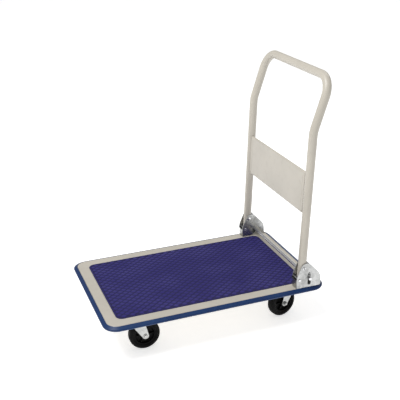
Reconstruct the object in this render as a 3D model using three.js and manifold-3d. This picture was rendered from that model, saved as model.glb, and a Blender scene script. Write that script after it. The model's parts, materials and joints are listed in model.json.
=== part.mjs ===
// Folding platform cart: a pressed steel deck on four casters, with a tube handle that folds
// forward over the deck when a foot bar at its base is pushed down.
// Millimetres. +X runs from the front of the deck to the handle end, +Z is up, and the floor is
// at z = 0. "Left" is -Y, as seen by a person behind the handle who faces the deck.
import * as THREE from 'three';
import { mergeVertices } from 'three/addons/utils/BufferGeometryUtils.js';
import Module from 'manifold-3d';

const wasm = await Module();
wasm.setup();

// ---- Driving dimensions -------------------------------------------------------------------

const GAP = 0.3; // left between pieces that touch
const SIDES = { left: -1, right: 1 };

// Facets: per quarter of a rounded corner, round a small hole or pin, and round a larger piece.
const CORNER_SEGMENTS = 5;
const SMALL_HOLE_SEGMENTS = 8;
const PIN_SEGMENTS = 12;
const DISC_SEGMENTS = 20;
const TYRE_SEGMENTS = 28;
const HEXAGON = 6;
const TUBE_SEGMENTS = 7; // per half turn of the tube's section
const BEND_STEPS = { gentle: 2, corner: 6 };

const DECK_TOP = 134;
const DECK_LENGTH = 715;
const DECK_WIDTH = 455;
const DECK_CORNER_RADIUS = 34;
const DECK_SHEET = 2.4;
const DECK_SKIRT = 12;
const DECK_EDGE_ROUND = 2;

const MAT_FRONT_X = -322;
const MAT_REAR_X = 316;
const MAT_WIDTH = 382;
const MAT_CORNER_RADIUS = 21;
const MAT_THICKNESS = 2.2;
const MAT_RECESS = 1.2;

const BUMPER_LENGTH = 740;
const BUMPER_WIDTH = 480;
const BUMPER_TOP = DECK_TOP - 0.1;
const BUMPER_BOTTOM = 119.5;
const BUMPER_LIP = 5;
const BUMPER_ROUND = 6;

const MEMBER_LENGTH = 400;
const MEMBER_WIDTH = 100;
const MEMBER_WEB = 4;
const MEMBER_BOTTOM = 119.8;
const MEMBER_FLANGE = 2.5;
const STIFFENER_Y = 75;
const STIFFENER_WIDTH = 44;
const STIFFENER_BOTTOM = 113;
const STIFFENER_SHEET = 2;

const PIVOT_X = 288;
const PIVOT_Z = DECK_TOP + 69.5;
const PIVOT_RADIUS = 4;
const PIVOT_HEAD = { radius: 6.5, height: 2 };

const TUBE_RADIUS = 13.6;
const TUBE_WALL = 1.5;
const TUBE_Y = 213;
const TUBE_LEAN = THREE.MathUtils.degToRad(2.63);
const TUBE_HEEL = 33; // from the pivot down to the tube's open end
const HANDLE_BEND_Z = DECK_TOP + 517;
const HANDLE_BEND_RADIUS = 110;
const TOP_BAR_X = 361.4;
const TOP_BAR_Z = DECK_TOP + 676.6;
const TOP_CORNER_RADIUS = 58;

const PANEL_BOTTOM_Z = DECK_TOP + 249;
const PANEL_TOP_Z = DECK_TOP + 386;
const PANEL_FORWARD = 8; // from the tube axes to the panel's front face
const PANEL_SHEET = 1.6;
const PANEL_BEAD_RADIUS = 4.5;
const PANEL_SIDE_GAP = 2.5;
const PANEL_TAB_HEIGHT = 13;
const PANEL_TAB_SHEET = 1.6;

const BRACKET_SHEET = 2.3;
const BRACKET_HALF_GAP = TUBE_RADIUS + 0.6;
const BRACKET_FRONT_X = 262;
const BRACKET_REAR_X = 349;
// The cheek's edges: how far in from the bracket's front or rear end, and how high over the deck.
const BRACKET_REAR_FOOT = { inset: 1, height: 27 };
const BRACKET_REAR_SHOULDER = { inset: 3, height: 41 };
const BRACKET_REAR_SLOPE = [{ inset: 15, height: 54 }, { inset: 37, height: 77 }];
const BRACKET_CROWN = { rearInset: 46, frontInset: 34, height: 85.5 };
const BRACKET_FRONT_SLOPE = [{ inset: 18, height: 77 }, { inset: 4, height: 47 }];
const BRACKET_FRONT_SHOULDER_INSET = 22;
const BRACKET_KNEE = { inset: 0.5, height: 37 };
const BRACKET_WEB_TOP = 27;
const STOP_PIN = { x: 273, height: 29, radius: 3.5 };
const STOP_HEAD = { radius: 5, height: 1.8 };
const PIN_HEAD_TAPER = 0.75;
const BASE_BOLT_XS = { front: 280, rear: 334 };
const BASE_BOLT_RADIUS = 3.7;
const BASE_BOLT_HEAD = { radius: 6.4, height: 5 };
const BASE_BOLT_CLEARANCE = 0.4;

const FOOT_BAR_X = 307.5;
const FOOT_BAR_Z = DECK_TOP + 31.5;
const FOOT_BAR_RADIUS = 5;
const FOOT_BAR_TRAVEL = 17;
const FOOT_BAR_HALF_LENGTH = 237.5;
const FOOT_BAR_GROOVE = { inner: 5.6, outer: 2, depth: 1.2 }; // inner and outer edges from the bar's end
const SLOT_CLEARANCE = 0.6;
const SPRING_Y = 233;
const SPRING_RADIUS = 3.1;
const SPRING_SEAT_GAP = 0.7;
const SPRING_WIRE_RADIUS = 1.1;
const SPRING_NECK = 3; // from the top coil up to the hook
const SPRING_HOOK_Z = DECK_TOP + 51;
const HOOK_HOLE_RADIUS = 2.2;

const WHEEL_RADIUS = 50;
const WHEEL_WIDTH = 28;
const TYRE_INNER_RADIUS = 36.3;
const TYRE_FLANK = { radius: 44, bead: 1 };
const TYRE_SHOULDER = { radius: 48.5, inset: 4 };
const TYRE_TREAD_INSET = 10;
const RIM = { radius: 36, flangeRadius: 31, halfWidth: 11 };
const HUB = { length: 34, radius: 12, bore: 6.3, recess: 0.6 };
const HUB_WEB_HALF = 4;
const SLEEVE_RADIUS = 6;
const AXLE_RADIUS = 4;
const AXLE_CLEARANCE = 0.2;
const AXLE_HEAD = { radius: 6.5, height: 5 };
const AXLE_NUT_HEIGHT = 6;
const AXLE_END = 7.5; // the bolt's end beyond the fork, past the nut
const FORK_SHEET = 2.5;
const FORK_HALF_GAP = 17.6;
const FORK_TIP_RADIUS = 10.5;
const FORK_OFFSET = 24; // from the middle of the plate to the axle
const PLATE_LENGTH = 92;
const PLATE_WIDTH = 64;
const PLATE_TOP = 127;
const PLATE_SHEET = 2.5;
const PLATE_CORNER_RADIUS = 7;
const PLATE_HOLE_RADIUS = 4.2;
const PLATE_HOLE_SPACING = { x: 74, y: 46 };
const CUP = { radius: 21, depth: 4.5 };
const RACE = { innerRadius: 20, radius: 25, topRadius: 23, lowerSlope: 4, upperSlope: 2 };
const KINGPIN_RADIUS = 5;
const KINGPIN_HEAD = { radius: 9, height: 3.6 };
const FIXED_X = -257;
const FIXED_Y = 162;
const SWIVEL_X = 275;
const SWIVEL_Y = 141;
const SWIVEL_YAW = THREE.MathUtils.degToRad(13); // how far each swivel fork is turned out at rest

// The handle's top bar overhangs the bumper, so the deck sits a little forward of the middle.
const REAR_OVERHANG = TOP_BAR_X + TUBE_RADIUS - BUMPER_LENGTH / 2;
const CENTRE_SHIFT = -REAR_OVERHANG / 2;

// ---- Finishes -----------------------------------------------------------------------------

function finish(color, roughness, metalness) {
  return new THREE.MeshStandardMaterial({ color, roughness, metalness });
}

const CREAM_PAINT = finish(0xcbc3b6, 0.45, 0.1);
const BLUE_MAT = finish(0x2c2a5c, 0.7, 0);
const BLUE_VINYL = finish(0x173a66, 0.5, 0);
const ZINC = finish(0xc9cbc8, 0.35, 0.9);
const BRIGHT_STEEL = finish(0xd5d6d8, 0.25, 1);
const BLACK_RUBBER = finish(0x151517, 0.75, 0);
const BLACK_PLASTIC = finish(0x1d1d20, 0.5, 0);

// ---- Geometry helpers ---------------------------------------------------------------------

function toSolid(geometry) {
  const bare = geometry.clone();
  bare.deleteAttribute('normal');
  bare.deleteAttribute('uv');
  const merged = mergeVertices(bare, 1e-4);
  return new wasm.Manifold(new wasm.Mesh({
    numProp: 3,
    vertProperties: Float32Array.from(merged.attributes.position.array),
    triVerts: Uint32Array.from(merged.index.array),
  }));
}

function toGeometry(solid) {
  const mesh = solid.getMesh();
  const geometry = new THREE.BufferGeometry();
  geometry.setAttribute('position', new THREE.BufferAttribute(mesh.vertProperties, 3));
  geometry.setIndex(new THREE.BufferAttribute(mesh.triVerts, 1));
  geometry.computeVertexNormals();
  return geometry;
}

function join(...geometries) {
  return toGeometry(geometries.map(toSolid).reduce((sum, solid) => sum.add(solid)));
}

function cut(geometry, ...tools) {
  return toGeometry(tools.map(toSolid).reduce((rest, tool) => rest.subtract(tool), toSolid(geometry)));
}

function roundedRectangle(length, width, radius, centreX = 0) {
  const [x0, x1, y0, y1] = [centreX - length / 2, centreX + length / 2, -width / 2, width / 2];
  const quarter = Math.PI / 2;
  const shape = new THREE.Shape();
  shape.absarc(x1 - radius, y0 + radius, radius, -quarter, 0, false);
  shape.absarc(x1 - radius, y1 - radius, radius, 0, quarter, false);
  shape.absarc(x0 + radius, y1 - radius, radius, quarter, 2 * quarter, false);
  shape.absarc(x0 + radius, y0 + radius, radius, 2 * quarter, 3 * quarter, false);
  shape.closePath();
  return shape;
}

// An upright prism of an outline drawn in X and Y, with its long edges rounded off if asked.
function slab(shape, z0, z1, round = 0) {
  const geometry = new THREE.ExtrudeGeometry(shape, {
    depth: z1 - z0 - 2 * round,
    curveSegments: CORNER_SEGMENTS,
    bevelEnabled: round > 0,
    bevelThickness: round,
    bevelSize: round,
    bevelOffset: -round,
    bevelSegments: 2,
  });
  return geometry.translate(0, 0, z0 + round);
}

// A plate of an outline drawn in X and Z, between two values of y.
function plateAcross(shape, y0, y1, curveSegments = CORNER_SEGMENTS) {
  const geometry = new THREE.ExtrudeGeometry(shape, { depth: y1 - y0, bevelEnabled: false, curveSegments });
  return geometry.rotateX(Math.PI / 2).translate(0, y1, 0);
}

function block(x0, x1, y0, y1, z0, z1) {
  const geometry = new THREE.BoxGeometry(x1 - x0, y1 - y0, z1 - z0);
  return geometry.translate((x0 + x1) / 2, (y0 + y1) / 2, (z0 + z1) / 2);
}

function rodAcross(x, z, radius, y0, y1, segments = PIN_SEGMENTS) {
  const geometry = new THREE.CylinderGeometry(radius, radius, y1 - y0, segments);
  return geometry.translate(x, (y0 + y1) / 2, z);
}

function rodUp(x, y, radius, z0, z1, segments = PIN_SEGMENTS) {
  const geometry = new THREE.CylinderGeometry(radius, radius, z1 - z0, segments);
  return geometry.rotateX(Math.PI / 2).translate(x, y, (z0 + z1) / 2);
}

// A turned piece about the Y axis. Each step is [distance along Y, radius].
function turnedAcross(steps, segments = PIN_SEGMENTS) {
  const profile = steps.map(([y, radius]) => new THREE.Vector2(radius, y));
  return new THREE.LatheGeometry(profile, segments);
}

function addMesh(parent, name, geometry, material) {
  const mesh = new THREE.Mesh(geometry, material);
  mesh.name = name;
  parent.add(mesh);
  return mesh;
}

const cart = new THREE.Group();
cart.position.x = CENTRE_SHIFT;

// ---- Deck ---------------------------------------------------------------------------------

const SHEET_UNDERSIDE = DECK_TOP - DECK_SHEET;
const SKIRT_BOTTOM = DECK_TOP - DECK_SKIRT;
const MAT_LENGTH = MAT_REAR_X - MAT_FRONT_X;
const MAT_CENTRE_X = (MAT_REAR_X + MAT_FRONT_X) / 2;
const BASE_BOLT_HOLE_RADIUS = BASE_BOLT_RADIUS + BASE_BOLT_CLEARANCE;

function matOutline(growth) {
  return roundedRectangle(
    MAT_LENGTH + 2 * growth, MAT_WIDTH + 2 * growth, MAT_CORNER_RADIUS + growth, MAT_CENTRE_X);
}

function deckOutline(growth) {
  return roundedRectangle(
    DECK_LENGTH + 2 * growth, DECK_WIDTH + 2 * growth, DECK_CORNER_RADIUS + growth);
}

function baseBoltHoles(side, z0, z1) {
  return Object.values(BASE_BOLT_XS).map((x) => rodUp(x, side * TUBE_Y, BASE_BOLT_HOLE_RADIUS, z0, z1));
}

function deckPan() {
  const blank = slab(deckOutline(0), SKIRT_BOTTOM, DECK_TOP, DECK_EDGE_ROUND);
  const underside = slab(deckOutline(-DECK_SHEET), SKIRT_BOTTOM - 1, SHEET_UNDERSIDE);
  const recess = slab(matOutline(GAP), DECK_TOP - MAT_RECESS, DECK_TOP + 1);
  const holes = Object.values(SIDES).flatMap((side) => baseBoltHoles(side, SKIRT_BOTTOM, DECK_TOP + 1));
  return cut(blank, underside, recess, ...holes);
}

function mat() {
  const bottom = DECK_TOP - MAT_RECESS + GAP;
  return slab(matOutline(0), bottom, bottom + MAT_THICKNESS);
}

function bumper() {
  const blank = slab(
    roundedRectangle(BUMPER_LENGTH, BUMPER_WIDTH, DECK_CORNER_RADIUS + (BUMPER_WIDTH - DECK_WIDTH) / 2),
    BUMPER_BOTTOM, BUMPER_TOP, BUMPER_ROUND);
  const seat = slab(deckOutline(GAP), SKIRT_BOTTOM - GAP, BUMPER_TOP + 1);
  const middle = slab(deckOutline(-BUMPER_LIP), BUMPER_BOTTOM - 1, BUMPER_TOP + 1);
  return cut(blank, seat, middle);
}

// A pressed channel under the deck, open downwards, that the caster plates bolt to.
function crossMember() {
  const [halfX, halfY] = [MEMBER_WIDTH / 2, MEMBER_LENGTH / 2];
  const top = SHEET_UNDERSIDE - GAP;
  const blank = block(-halfX, halfX, -halfY, halfY, MEMBER_BOTTOM, top);
  const inner = halfX - MEMBER_FLANGE;
  return cut(blank, block(-inner, inner, -halfY - 1, halfY + 1, MEMBER_BOTTOM - 1, top - MEMBER_WEB));
}

function stiffener() {
  const x0 = FIXED_X + MEMBER_WIDTH / 2 + 1;
  const x1 = SWIVEL_X - MEMBER_WIDTH / 2 - 1;
  const half = STIFFENER_WIDTH / 2;
  const inner = half - STIFFENER_SHEET;
  const top = SHEET_UNDERSIDE - GAP;
  const blank = block(x0, x1, -half, half, STIFFENER_BOTTOM, top);
  return cut(blank, block(x0 - 1, x1 + 1, -inner, inner, STIFFENER_BOTTOM - 1, top - STIFFENER_SHEET));
}

addMesh(cart, 'deck_pan', deckPan(), CREAM_PAINT);
addMesh(cart, 'anti_slip_mat', mat(), BLUE_MAT);
addMesh(cart, 'edge_bumper', bumper(), BLUE_VINYL);
addMesh(cart, 'front_cross_member', crossMember(), CREAM_PAINT).position.x = FIXED_X;
addMesh(cart, 'rear_cross_member', crossMember(), CREAM_PAINT).position.x = SWIVEL_X;
for (const [sideName, side] of Object.entries(SIDES)) {
  addMesh(cart, `deck_stiffener_${sideName}`, stiffener(), CREAM_PAINT).position.y = side * STIFFENER_Y;
}

// ---- Hinge brackets -----------------------------------------------------------------------

const BRACKET_BASE = DECK_TOP + GAP;
const BRACKET_HALF_WIDTH = BRACKET_HALF_GAP + BRACKET_SHEET;

// The cheek's outline in X and Z: upright edges, two slopes and a rounded top.
function cheekOutline() {
  const rear = ({ inset, height }) => [BRACKET_REAR_X - inset, DECK_TOP + height];
  const front = ({ inset, height }) => [BRACKET_FRONT_X + inset, DECK_TOP + height];
  const { rearInset, frontInset, height: crown } = BRACKET_CROWN;
  const crownRear = rear({ inset: rearInset, height: crown });
  const crownFront = front({ inset: frontInset, height: crown });
  const frontShoulder = front({ inset: BRACKET_FRONT_SHOULDER_INSET, height: crown });
  const shape = new THREE.Shape();
  shape.moveTo(BRACKET_FRONT_X, BRACKET_BASE);
  shape.lineTo(BRACKET_REAR_X, BRACKET_BASE);
  shape.lineTo(...rear(BRACKET_REAR_FOOT));
  shape.quadraticCurveTo(...rear(BRACKET_REAR_SHOULDER), ...rear(BRACKET_REAR_SLOPE[0]));
  shape.lineTo(...rear(BRACKET_REAR_SLOPE[1]));
  shape.quadraticCurveTo(...crownRear, ...crownFront);
  shape.quadraticCurveTo(...frontShoulder, ...front(BRACKET_FRONT_SLOPE[0]));
  shape.lineTo(...front(BRACKET_FRONT_SLOPE[1]));
  shape.quadraticCurveTo(...front(BRACKET_KNEE), BRACKET_FRONT_X, DECK_TOP + BRACKET_WEB_TOP);
  shape.closePath();
  return shape;
}

// The slot that guides the foot bar, with round ends.
function footBarSlot() {
  const radius = FOOT_BAR_RADIUS + SLOT_CLEARANCE;
  const shape = new THREE.Shape();
  shape.absarc(FOOT_BAR_X, FOOT_BAR_Z, radius, 0, Math.PI, false);
  shape.absarc(FOOT_BAR_X, FOOT_BAR_Z - FOOT_BAR_TRAVEL - 1, radius, Math.PI, 2 * Math.PI, false);
  shape.closePath();
  return shape;
}

// A bracket centred on y = 0: two cheeks joined by a front web and a base.
function hingeBracket(side) {
  const cheeks = [-1, 1].map((cheek) => {
    const inner = cheek * BRACKET_HALF_GAP;
    const outer = cheek * BRACKET_HALF_WIDTH;
    return plateAcross(cheekOutline(), Math.min(inner, outer), Math.max(inner, outer));
  });
  const reach = BRACKET_HALF_GAP + 0.5;
  const web = block(
    BRACKET_FRONT_X, BRACKET_FRONT_X + BRACKET_SHEET, -reach, reach, BRACKET_BASE, DECK_TOP + BRACKET_WEB_TOP);
  const base = block(
    BRACKET_FRONT_X, BRACKET_REAR_X, -reach, reach, BRACKET_BASE, BRACKET_BASE + BRACKET_SHEET);
  const across = BRACKET_HALF_WIDTH + 1;
  const hookHole = [-1, 1].map((end) => side * BRACKET_HALF_WIDTH + end * (BRACKET_SHEET + 1));
  return cut(
    join(...cheeks, web, base),
    plateAcross(footBarSlot(), -across, across),
    rodAcross(PIVOT_X, PIVOT_Z, PIVOT_RADIUS + GAP, -across, across),
    rodAcross(STOP_PIN.x, DECK_TOP + STOP_PIN.height, STOP_PIN.radius + GAP, -across, across),
    rodAcross(FOOT_BAR_X, SPRING_HOOK_Z, HOOK_HOLE_RADIUS, ...hookHole, SMALL_HOLE_SEGMENTS),
    ...Object.values(BASE_BOLT_XS).map(
      (x) => rodUp(x, 0, BASE_BOLT_HOLE_RADIUS, BRACKET_BASE - 1, BRACKET_BASE + BRACKET_SHEET + 1)),
  );
}

// A pin with a formed head outside each cheek, about the Y axis.
function headedPin(radius, head) {
  const seat = BRACKET_HALF_WIDTH + GAP;
  const end = seat + head.height;
  const edge = end - head.height / 2;
  const face = head.radius * PIN_HEAD_TAPER;
  return turnedAcross([
    [-end, 0], [-end, face], [-edge, head.radius], [-seat, head.radius], [-seat, radius],
    [seat, radius], [seat, head.radius], [edge, head.radius], [end, face], [end, 0],
  ]);
}

// A base bolt with its head on the bracket's base.
function baseBolt() {
  const seat = BRACKET_BASE + BRACKET_SHEET + GAP;
  return join(
    rodUp(0, 0, BASE_BOLT_HEAD.radius, seat, seat + BASE_BOLT_HEAD.height, HEXAGON),
    rodUp(0, 0, BASE_BOLT_RADIUS, SKIRT_BOTTOM + 2, seat + 1));
}

for (const [sideName, side] of Object.entries(SIDES)) {
  const bracket = new THREE.Group();
  bracket.position.y = side * TUBE_Y;
  cart.add(bracket);
  addMesh(bracket, `hinge_bracket_${sideName}`, hingeBracket(side), ZINC);
  const pivotPin = headedPin(PIVOT_RADIUS, PIVOT_HEAD);
  const pivot = addMesh(bracket, `handle_pivot_pin_${sideName}`, pivotPin, BRIGHT_STEEL);
  pivot.position.set(PIVOT_X, 0, PIVOT_Z);
  const stopPin = headedPin(STOP_PIN.radius, STOP_HEAD);
  const stop = addMesh(bracket, `stop_pin_${sideName}`, stopPin, BRIGHT_STEEL);
  stop.position.set(STOP_PIN.x, 0, DECK_TOP + STOP_PIN.height);
  for (const [endName, x] of Object.entries(BASE_BOLT_XS)) {
    addMesh(bracket, `bracket_bolt_${sideName}_${endName}`, baseBolt(), ZINC).position.x = x;
  }
}

// ---- Foot bar and its springs -------------------------------------------------------------

function footBar() {
  const [end, neck] = [FOOT_BAR_HALF_LENGTH, FOOT_BAR_RADIUS - FOOT_BAR_GROOVE.depth];
  const [grooveIn, grooveOut] = [end - FOOT_BAR_GROOVE.inner, end - FOOT_BAR_GROOVE.outer];
  const r = FOOT_BAR_RADIUS;
  return turnedAcross([
    [-end, 0], [-end, r], [-grooveOut, r], [-grooveOut, neck], [-grooveIn, neck], [-grooveIn, r],
    [grooveIn, r], [grooveIn, neck], [grooveOut, neck], [grooveOut, r], [end, r], [end, 0],
  ]);
}

// A return spring's outer shape, with the short hook that holds in the cheek's hole.
function returnSpring(side) {
  const bottom = FOOT_BAR_Z + FOOT_BAR_RADIUS + SPRING_SEAT_GAP;
  const coilTop = SPRING_HOOK_Z - SPRING_NECK;
  const wire = SPRING_WIRE_RADIUS;
  const hookRoot = side * SPRING_Y;
  const hookTip = side * (TUBE_Y + BRACKET_HALF_WIDTH - BRACKET_SHEET / 2);
  const hook = [Math.min(hookRoot, hookTip), Math.max(hookRoot, hookTip)];
  return join(
    rodUp(FOOT_BAR_X, hookRoot, SPRING_RADIUS, bottom, coilTop),
    rodUp(FOOT_BAR_X, hookRoot, wire, coilTop - 1, SPRING_HOOK_Z + 1, SMALL_HOLE_SEGMENTS),
    rodAcross(FOOT_BAR_X, SPRING_HOOK_Z, wire, ...hook, SMALL_HOLE_SEGMENTS));
}

addMesh(cart, 'foot_bar', footBar(), BRIGHT_STEEL).position.set(FOOT_BAR_X, 0, FOOT_BAR_Z);
for (const [sideName, side] of Object.entries(SIDES)) {
  addMesh(cart, `foot_bar_spring_${sideName}`, returnSpring(side), ZINC);
}

// ---- Handle -------------------------------------------------------------------------------

const UPPER_TILT = Math.atan2(
  TOP_BAR_X - (PIVOT_X + Math.tan(TUBE_LEAN) * (HANDLE_BEND_Z - PIVOT_Z)), TOP_BAR_Z - HANDLE_BEND_Z);

// A path through hand-placed stations, so that the straight stretches take no extra steps.
class StationPath extends THREE.Curve {
  constructor(stations) {
    super();
    this.stations = stations;
  }

  getPoint(t, target = new THREE.Vector3()) {
    const last = this.stations.length - 1;
    const index = Math.min(Math.round(t * last), last);
    return target.copy(this.stations[index].point);
  }

  getPointAt(u, target) {
    return this.getPoint(u, target);
  }

  getTangentAt(u, target = new THREE.Vector3()) {
    const last = this.stations.length - 1;
    return target.copy(this.stations[Math.min(Math.round(u * last), last)].tangent);
  }
}

// Stations along a round bend that starts at `start` and turns from one direction to another.
function bendStations(corner, from, to, radius, steps) {
  const angle = from.angleTo(to);
  const start = corner.clone().addScaledVector(from, -radius * Math.tan(angle / 2));
  const inward = to.clone().addScaledVector(from, -to.dot(from)).normalize();
  const stations = [];
  for (let i = 0; i <= steps; i += 1) {
    const turn = (angle * i) / steps;
    const point = start.clone()
      .addScaledVector(from, radius * Math.sin(turn))
      .addScaledVector(inward, radius * (1 - Math.cos(turn)));
    const tangent = from.clone().multiplyScalar(Math.cos(turn)).addScaledVector(inward, Math.sin(turn));
    stations.push({ point, tangent });
  }
  return stations;
}

function handlePath() {
  const lower = new THREE.Vector3(Math.sin(TUBE_LEAN), 0, Math.cos(TUBE_LEAN));
  const upper = new THREE.Vector3(Math.sin(UPPER_TILT), 0, Math.cos(UPPER_TILT));
  const across = new THREE.Vector3(0, 1, 0);
  const pivot = new THREE.Vector3(PIVOT_X, -TUBE_Y, PIVOT_Z);
  const heel = pivot.clone().addScaledVector(lower, -TUBE_HEEL);
  const bend = pivot.clone().addScaledVector(lower, (HANDLE_BEND_Z - PIVOT_Z) / lower.z);
  const corner = new THREE.Vector3(TOP_BAR_X, -TUBE_Y, TOP_BAR_Z);
  const leftSide = [
    { point: heel, tangent: lower },
    ...bendStations(bend, lower, upper, HANDLE_BEND_RADIUS, BEND_STEPS.gentle),
    ...bendStations(corner, upper, across, TOP_CORNER_RADIUS, BEND_STEPS.corner),
  ];
  const rightSide = leftSide.toReversed().map(({ point, tangent }) => ({
    point: new THREE.Vector3(point.x, -point.y, point.z),
    tangent: new THREE.Vector3(-tangent.x, tangent.y, -tangent.z),
  }));
  return new StationPath([...leftSide, ...rightSide]);
}

function handleTube() {
  const section = new THREE.Shape();
  section.absarc(0, 0, TUBE_RADIUS, 0, 2 * Math.PI, false);
  const bore = new THREE.Path();
  bore.absarc(0, 0, TUBE_RADIUS - TUBE_WALL, 0, 2 * Math.PI, true);
  section.holes.push(bore);
  const path = handlePath();
  const tube = new THREE.ExtrudeGeometry(section, {
    steps: path.stations.length - 1,
    extrudePath: path,
    curveSegments: TUBE_SEGMENTS,
  });
  const reach = TUBE_Y + TUBE_RADIUS + 1;
  return cut(tube, rodAcross(PIVOT_X, PIVOT_Z, PIVOT_RADIUS + GAP, -reach, reach));
}

// The name panel's blank between the tubes, rolled over a bead along its top and bottom edges.
// It is drawn level, then leaned back with the tubes about the pivot.
function handlePanel() {
  const inner = TUBE_Y - TUBE_RADIUS - GAP;
  const half = inner - PANEL_SIDE_GAP;
  const face = PIVOT_X - PANEL_FORWARD;
  const [bottom, top] = [PANEL_BOTTOM_Z, PANEL_TOP_Z].map((z) => PIVOT_Z + (z - PIVOT_Z) / Math.cos(TUBE_LEAN));
  const bead = PANEL_BEAD_RADIUS;
  const sheet = block(face, face + PANEL_SHEET, -half, half, bottom + bead, top - bead);
  const beads = [bottom + bead, top - bead].map((z) => rodAcross(face + bead, z, bead, -half, half));
  const [tabFront, tabRear] = [-1, 1].map((end) => face + bead + (end * PANEL_TAB_SHEET) / 2);
  const tabs = [bottom + bead, top - bead - PANEL_TAB_HEIGHT].map(
    (z) => block(tabFront, tabRear, -inner, inner, z, z + PANEL_TAB_HEIGHT));
  const panel = join(sheet, ...beads, ...tabs);
  return panel.translate(-PIVOT_X, 0, -PIVOT_Z).rotateY(TUBE_LEAN).translate(PIVOT_X, 0, PIVOT_Z);
}

addMesh(cart, 'handle_tube', handleTube(), CREAM_PAINT);
addMesh(cart, 'handle_panel', handlePanel(), CREAM_PAINT);

// ---- Casters ------------------------------------------------------------------------------

const PLATE_UNDERSIDE = PLATE_TOP - PLATE_SHEET;
const FORK_HALF_WIDTH = FORK_HALF_GAP + FORK_SHEET;
const SWIVEL_CROWN = { top: 109, frontX: -27, rearX: 20 };
const FIXED_CROWN = { top: PLATE_UNDERSIDE + 0.5, frontX: -38, rearX: 16 };

function topPlate(centreHole) {
  const shape = roundedRectangle(PLATE_LENGTH, PLATE_WIDTH, PLATE_CORNER_RADIUS);
  const holes = [-1, 1].flatMap((sx) => [-1, 1].map((sy) => rodUp(
    sx * PLATE_HOLE_SPACING.x / 2, sy * PLATE_HOLE_SPACING.y / 2, PLATE_HOLE_RADIUS,
    PLATE_UNDERSIDE - 1, PLATE_TOP + 1, SMALL_HOLE_SEGMENTS)));
  if (centreHole > 0) {
    holes.push(rodUp(0, 0, centreHole, PLATE_UNDERSIDE - 1, PLATE_TOP + 1));
  }
  return cut(slab(shape, PLATE_UNDERSIDE, PLATE_TOP), ...holes);
}

// A fork leg's outline in X and Z, from its top edge down to a round tip at the axle.
function legOutline(crown) {
  const tip = FORK_TIP_RADIUS;
  const shape = new THREE.Shape();
  shape.moveTo(crown.rearX, crown.top);
  shape.lineTo(crown.frontX, crown.top);
  shape.absarc(FORK_OFFSET, WHEEL_RADIUS, tip, Math.PI * 1.2, Math.PI * 2.07, false);
  shape.closePath();
  return shape;
}

// Two legs and the crown that joins them over the wheel.
function forkBody(crown) {
  const legs = [-1, 1].map((side) => {
    const [a, b] = [side * FORK_HALF_GAP, side * FORK_HALF_WIDTH];
    return plateAcross(legOutline(crown), Math.min(a, b), Math.max(a, b), SMALL_HOLE_SEGMENTS);
  });
  const bridge = block(
    crown.frontX, crown.rearX, -FORK_HALF_WIDTH, FORK_HALF_WIDTH, crown.top - FORK_SHEET, crown.top);
  return join(...legs, bridge);
}

function axleHole() {
  const reach = FORK_HALF_WIDTH + 1;
  return rodAcross(FORK_OFFSET, WHEEL_RADIUS, AXLE_RADIUS + AXLE_CLEARANCE, -reach, reach);
}

function swivelFork() {
  const { top } = SWIVEL_CROWN;
  const kingpinHole = rodUp(0, 0, KINGPIN_RADIUS + GAP, top - FORK_SHEET - 1, top + 1);
  return cut(forkBody(SWIVEL_CROWN), axleHole(), kingpinHole);
}

function fixedFork() {
  return cut(join(forkBody(FIXED_CROWN), topPlate(0)), axleHole());
}

// The plate's pressed underside cup, which the upper ball race runs in.
function swivelPlate() {
  const cup = cut(
    rodUp(0, 0, CUP.radius, PLATE_UNDERSIDE - CUP.depth, PLATE_UNDERSIDE + 0.5, DISC_SEGMENTS),
    rodUp(0, 0, KINGPIN_RADIUS + GAP, PLATE_UNDERSIDE - CUP.depth - 1, PLATE_UNDERSIDE + 1));
  return join(topPlate(KINGPIN_RADIUS + GAP), cup);
}

// The pressed ring round the balls, which turns with the fork.
function ballRace() {
  const bottom = SWIVEL_CROWN.top + GAP;
  const top = PLATE_UNDERSIDE - CUP.depth - GAP;
  const outer = new THREE.LatheGeometry([
    new THREE.Vector2(0, bottom),
    new THREE.Vector2(RACE.innerRadius, bottom),
    new THREE.Vector2(RACE.radius, bottom + RACE.lowerSlope),
    new THREE.Vector2(RACE.radius, top - RACE.upperSlope),
    new THREE.Vector2(RACE.topRadius, top),
    new THREE.Vector2(0, top),
  ], DISC_SEGMENTS).rotateX(Math.PI / 2);
  return cut(outer, rodUp(0, 0, KINGPIN_RADIUS + GAP, bottom - 1, top + 1));
}

function kingpin() {
  const headTop = SWIVEL_CROWN.top - FORK_SHEET - GAP;
  return join(
    rodUp(0, 0, KINGPIN_HEAD.radius, headTop - KINGPIN_HEAD.height, headTop, HEXAGON),
    rodUp(0, 0, KINGPIN_RADIUS, headTop - 1, PLATE_TOP - GAP));
}

function axleBolt() {
  const seat = FORK_HALF_WIDTH + GAP;
  return join(
    rodAcross(0, 0, AXLE_HEAD.radius, -seat - AXLE_HEAD.height, -seat, HEXAGON),
    rodAcross(0, 0, AXLE_RADIUS, -seat - 1, seat + AXLE_END));
}

function axleNut() {
  const seat = FORK_HALF_WIDTH + GAP;
  const end = seat + AXLE_NUT_HEIGHT;
  const bore = rodAcross(0, 0, AXLE_RADIUS + GAP, seat - 1, end + 1);
  return cut(rodAcross(0, 0, AXLE_HEAD.radius, seat, end, HEXAGON), bore);
}

function bearingSleeve() {
  const half = HUB.length / 2;
  const bore = rodAcross(0, 0, AXLE_RADIUS + AXLE_CLEARANCE, -half - 1, half + 1);
  return cut(rodAcross(0, 0, SLEEVE_RADIUS, -half, half), bore);
}

// A turned ring about the Y axis, from its closed section as [radius, distance along Y].
function ring(section, segments) {
  const profile = [...section, section[0]].map(([radius, y]) => new THREE.Vector2(radius, y));
  return new THREE.LatheGeometry(profile, segments);
}

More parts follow.
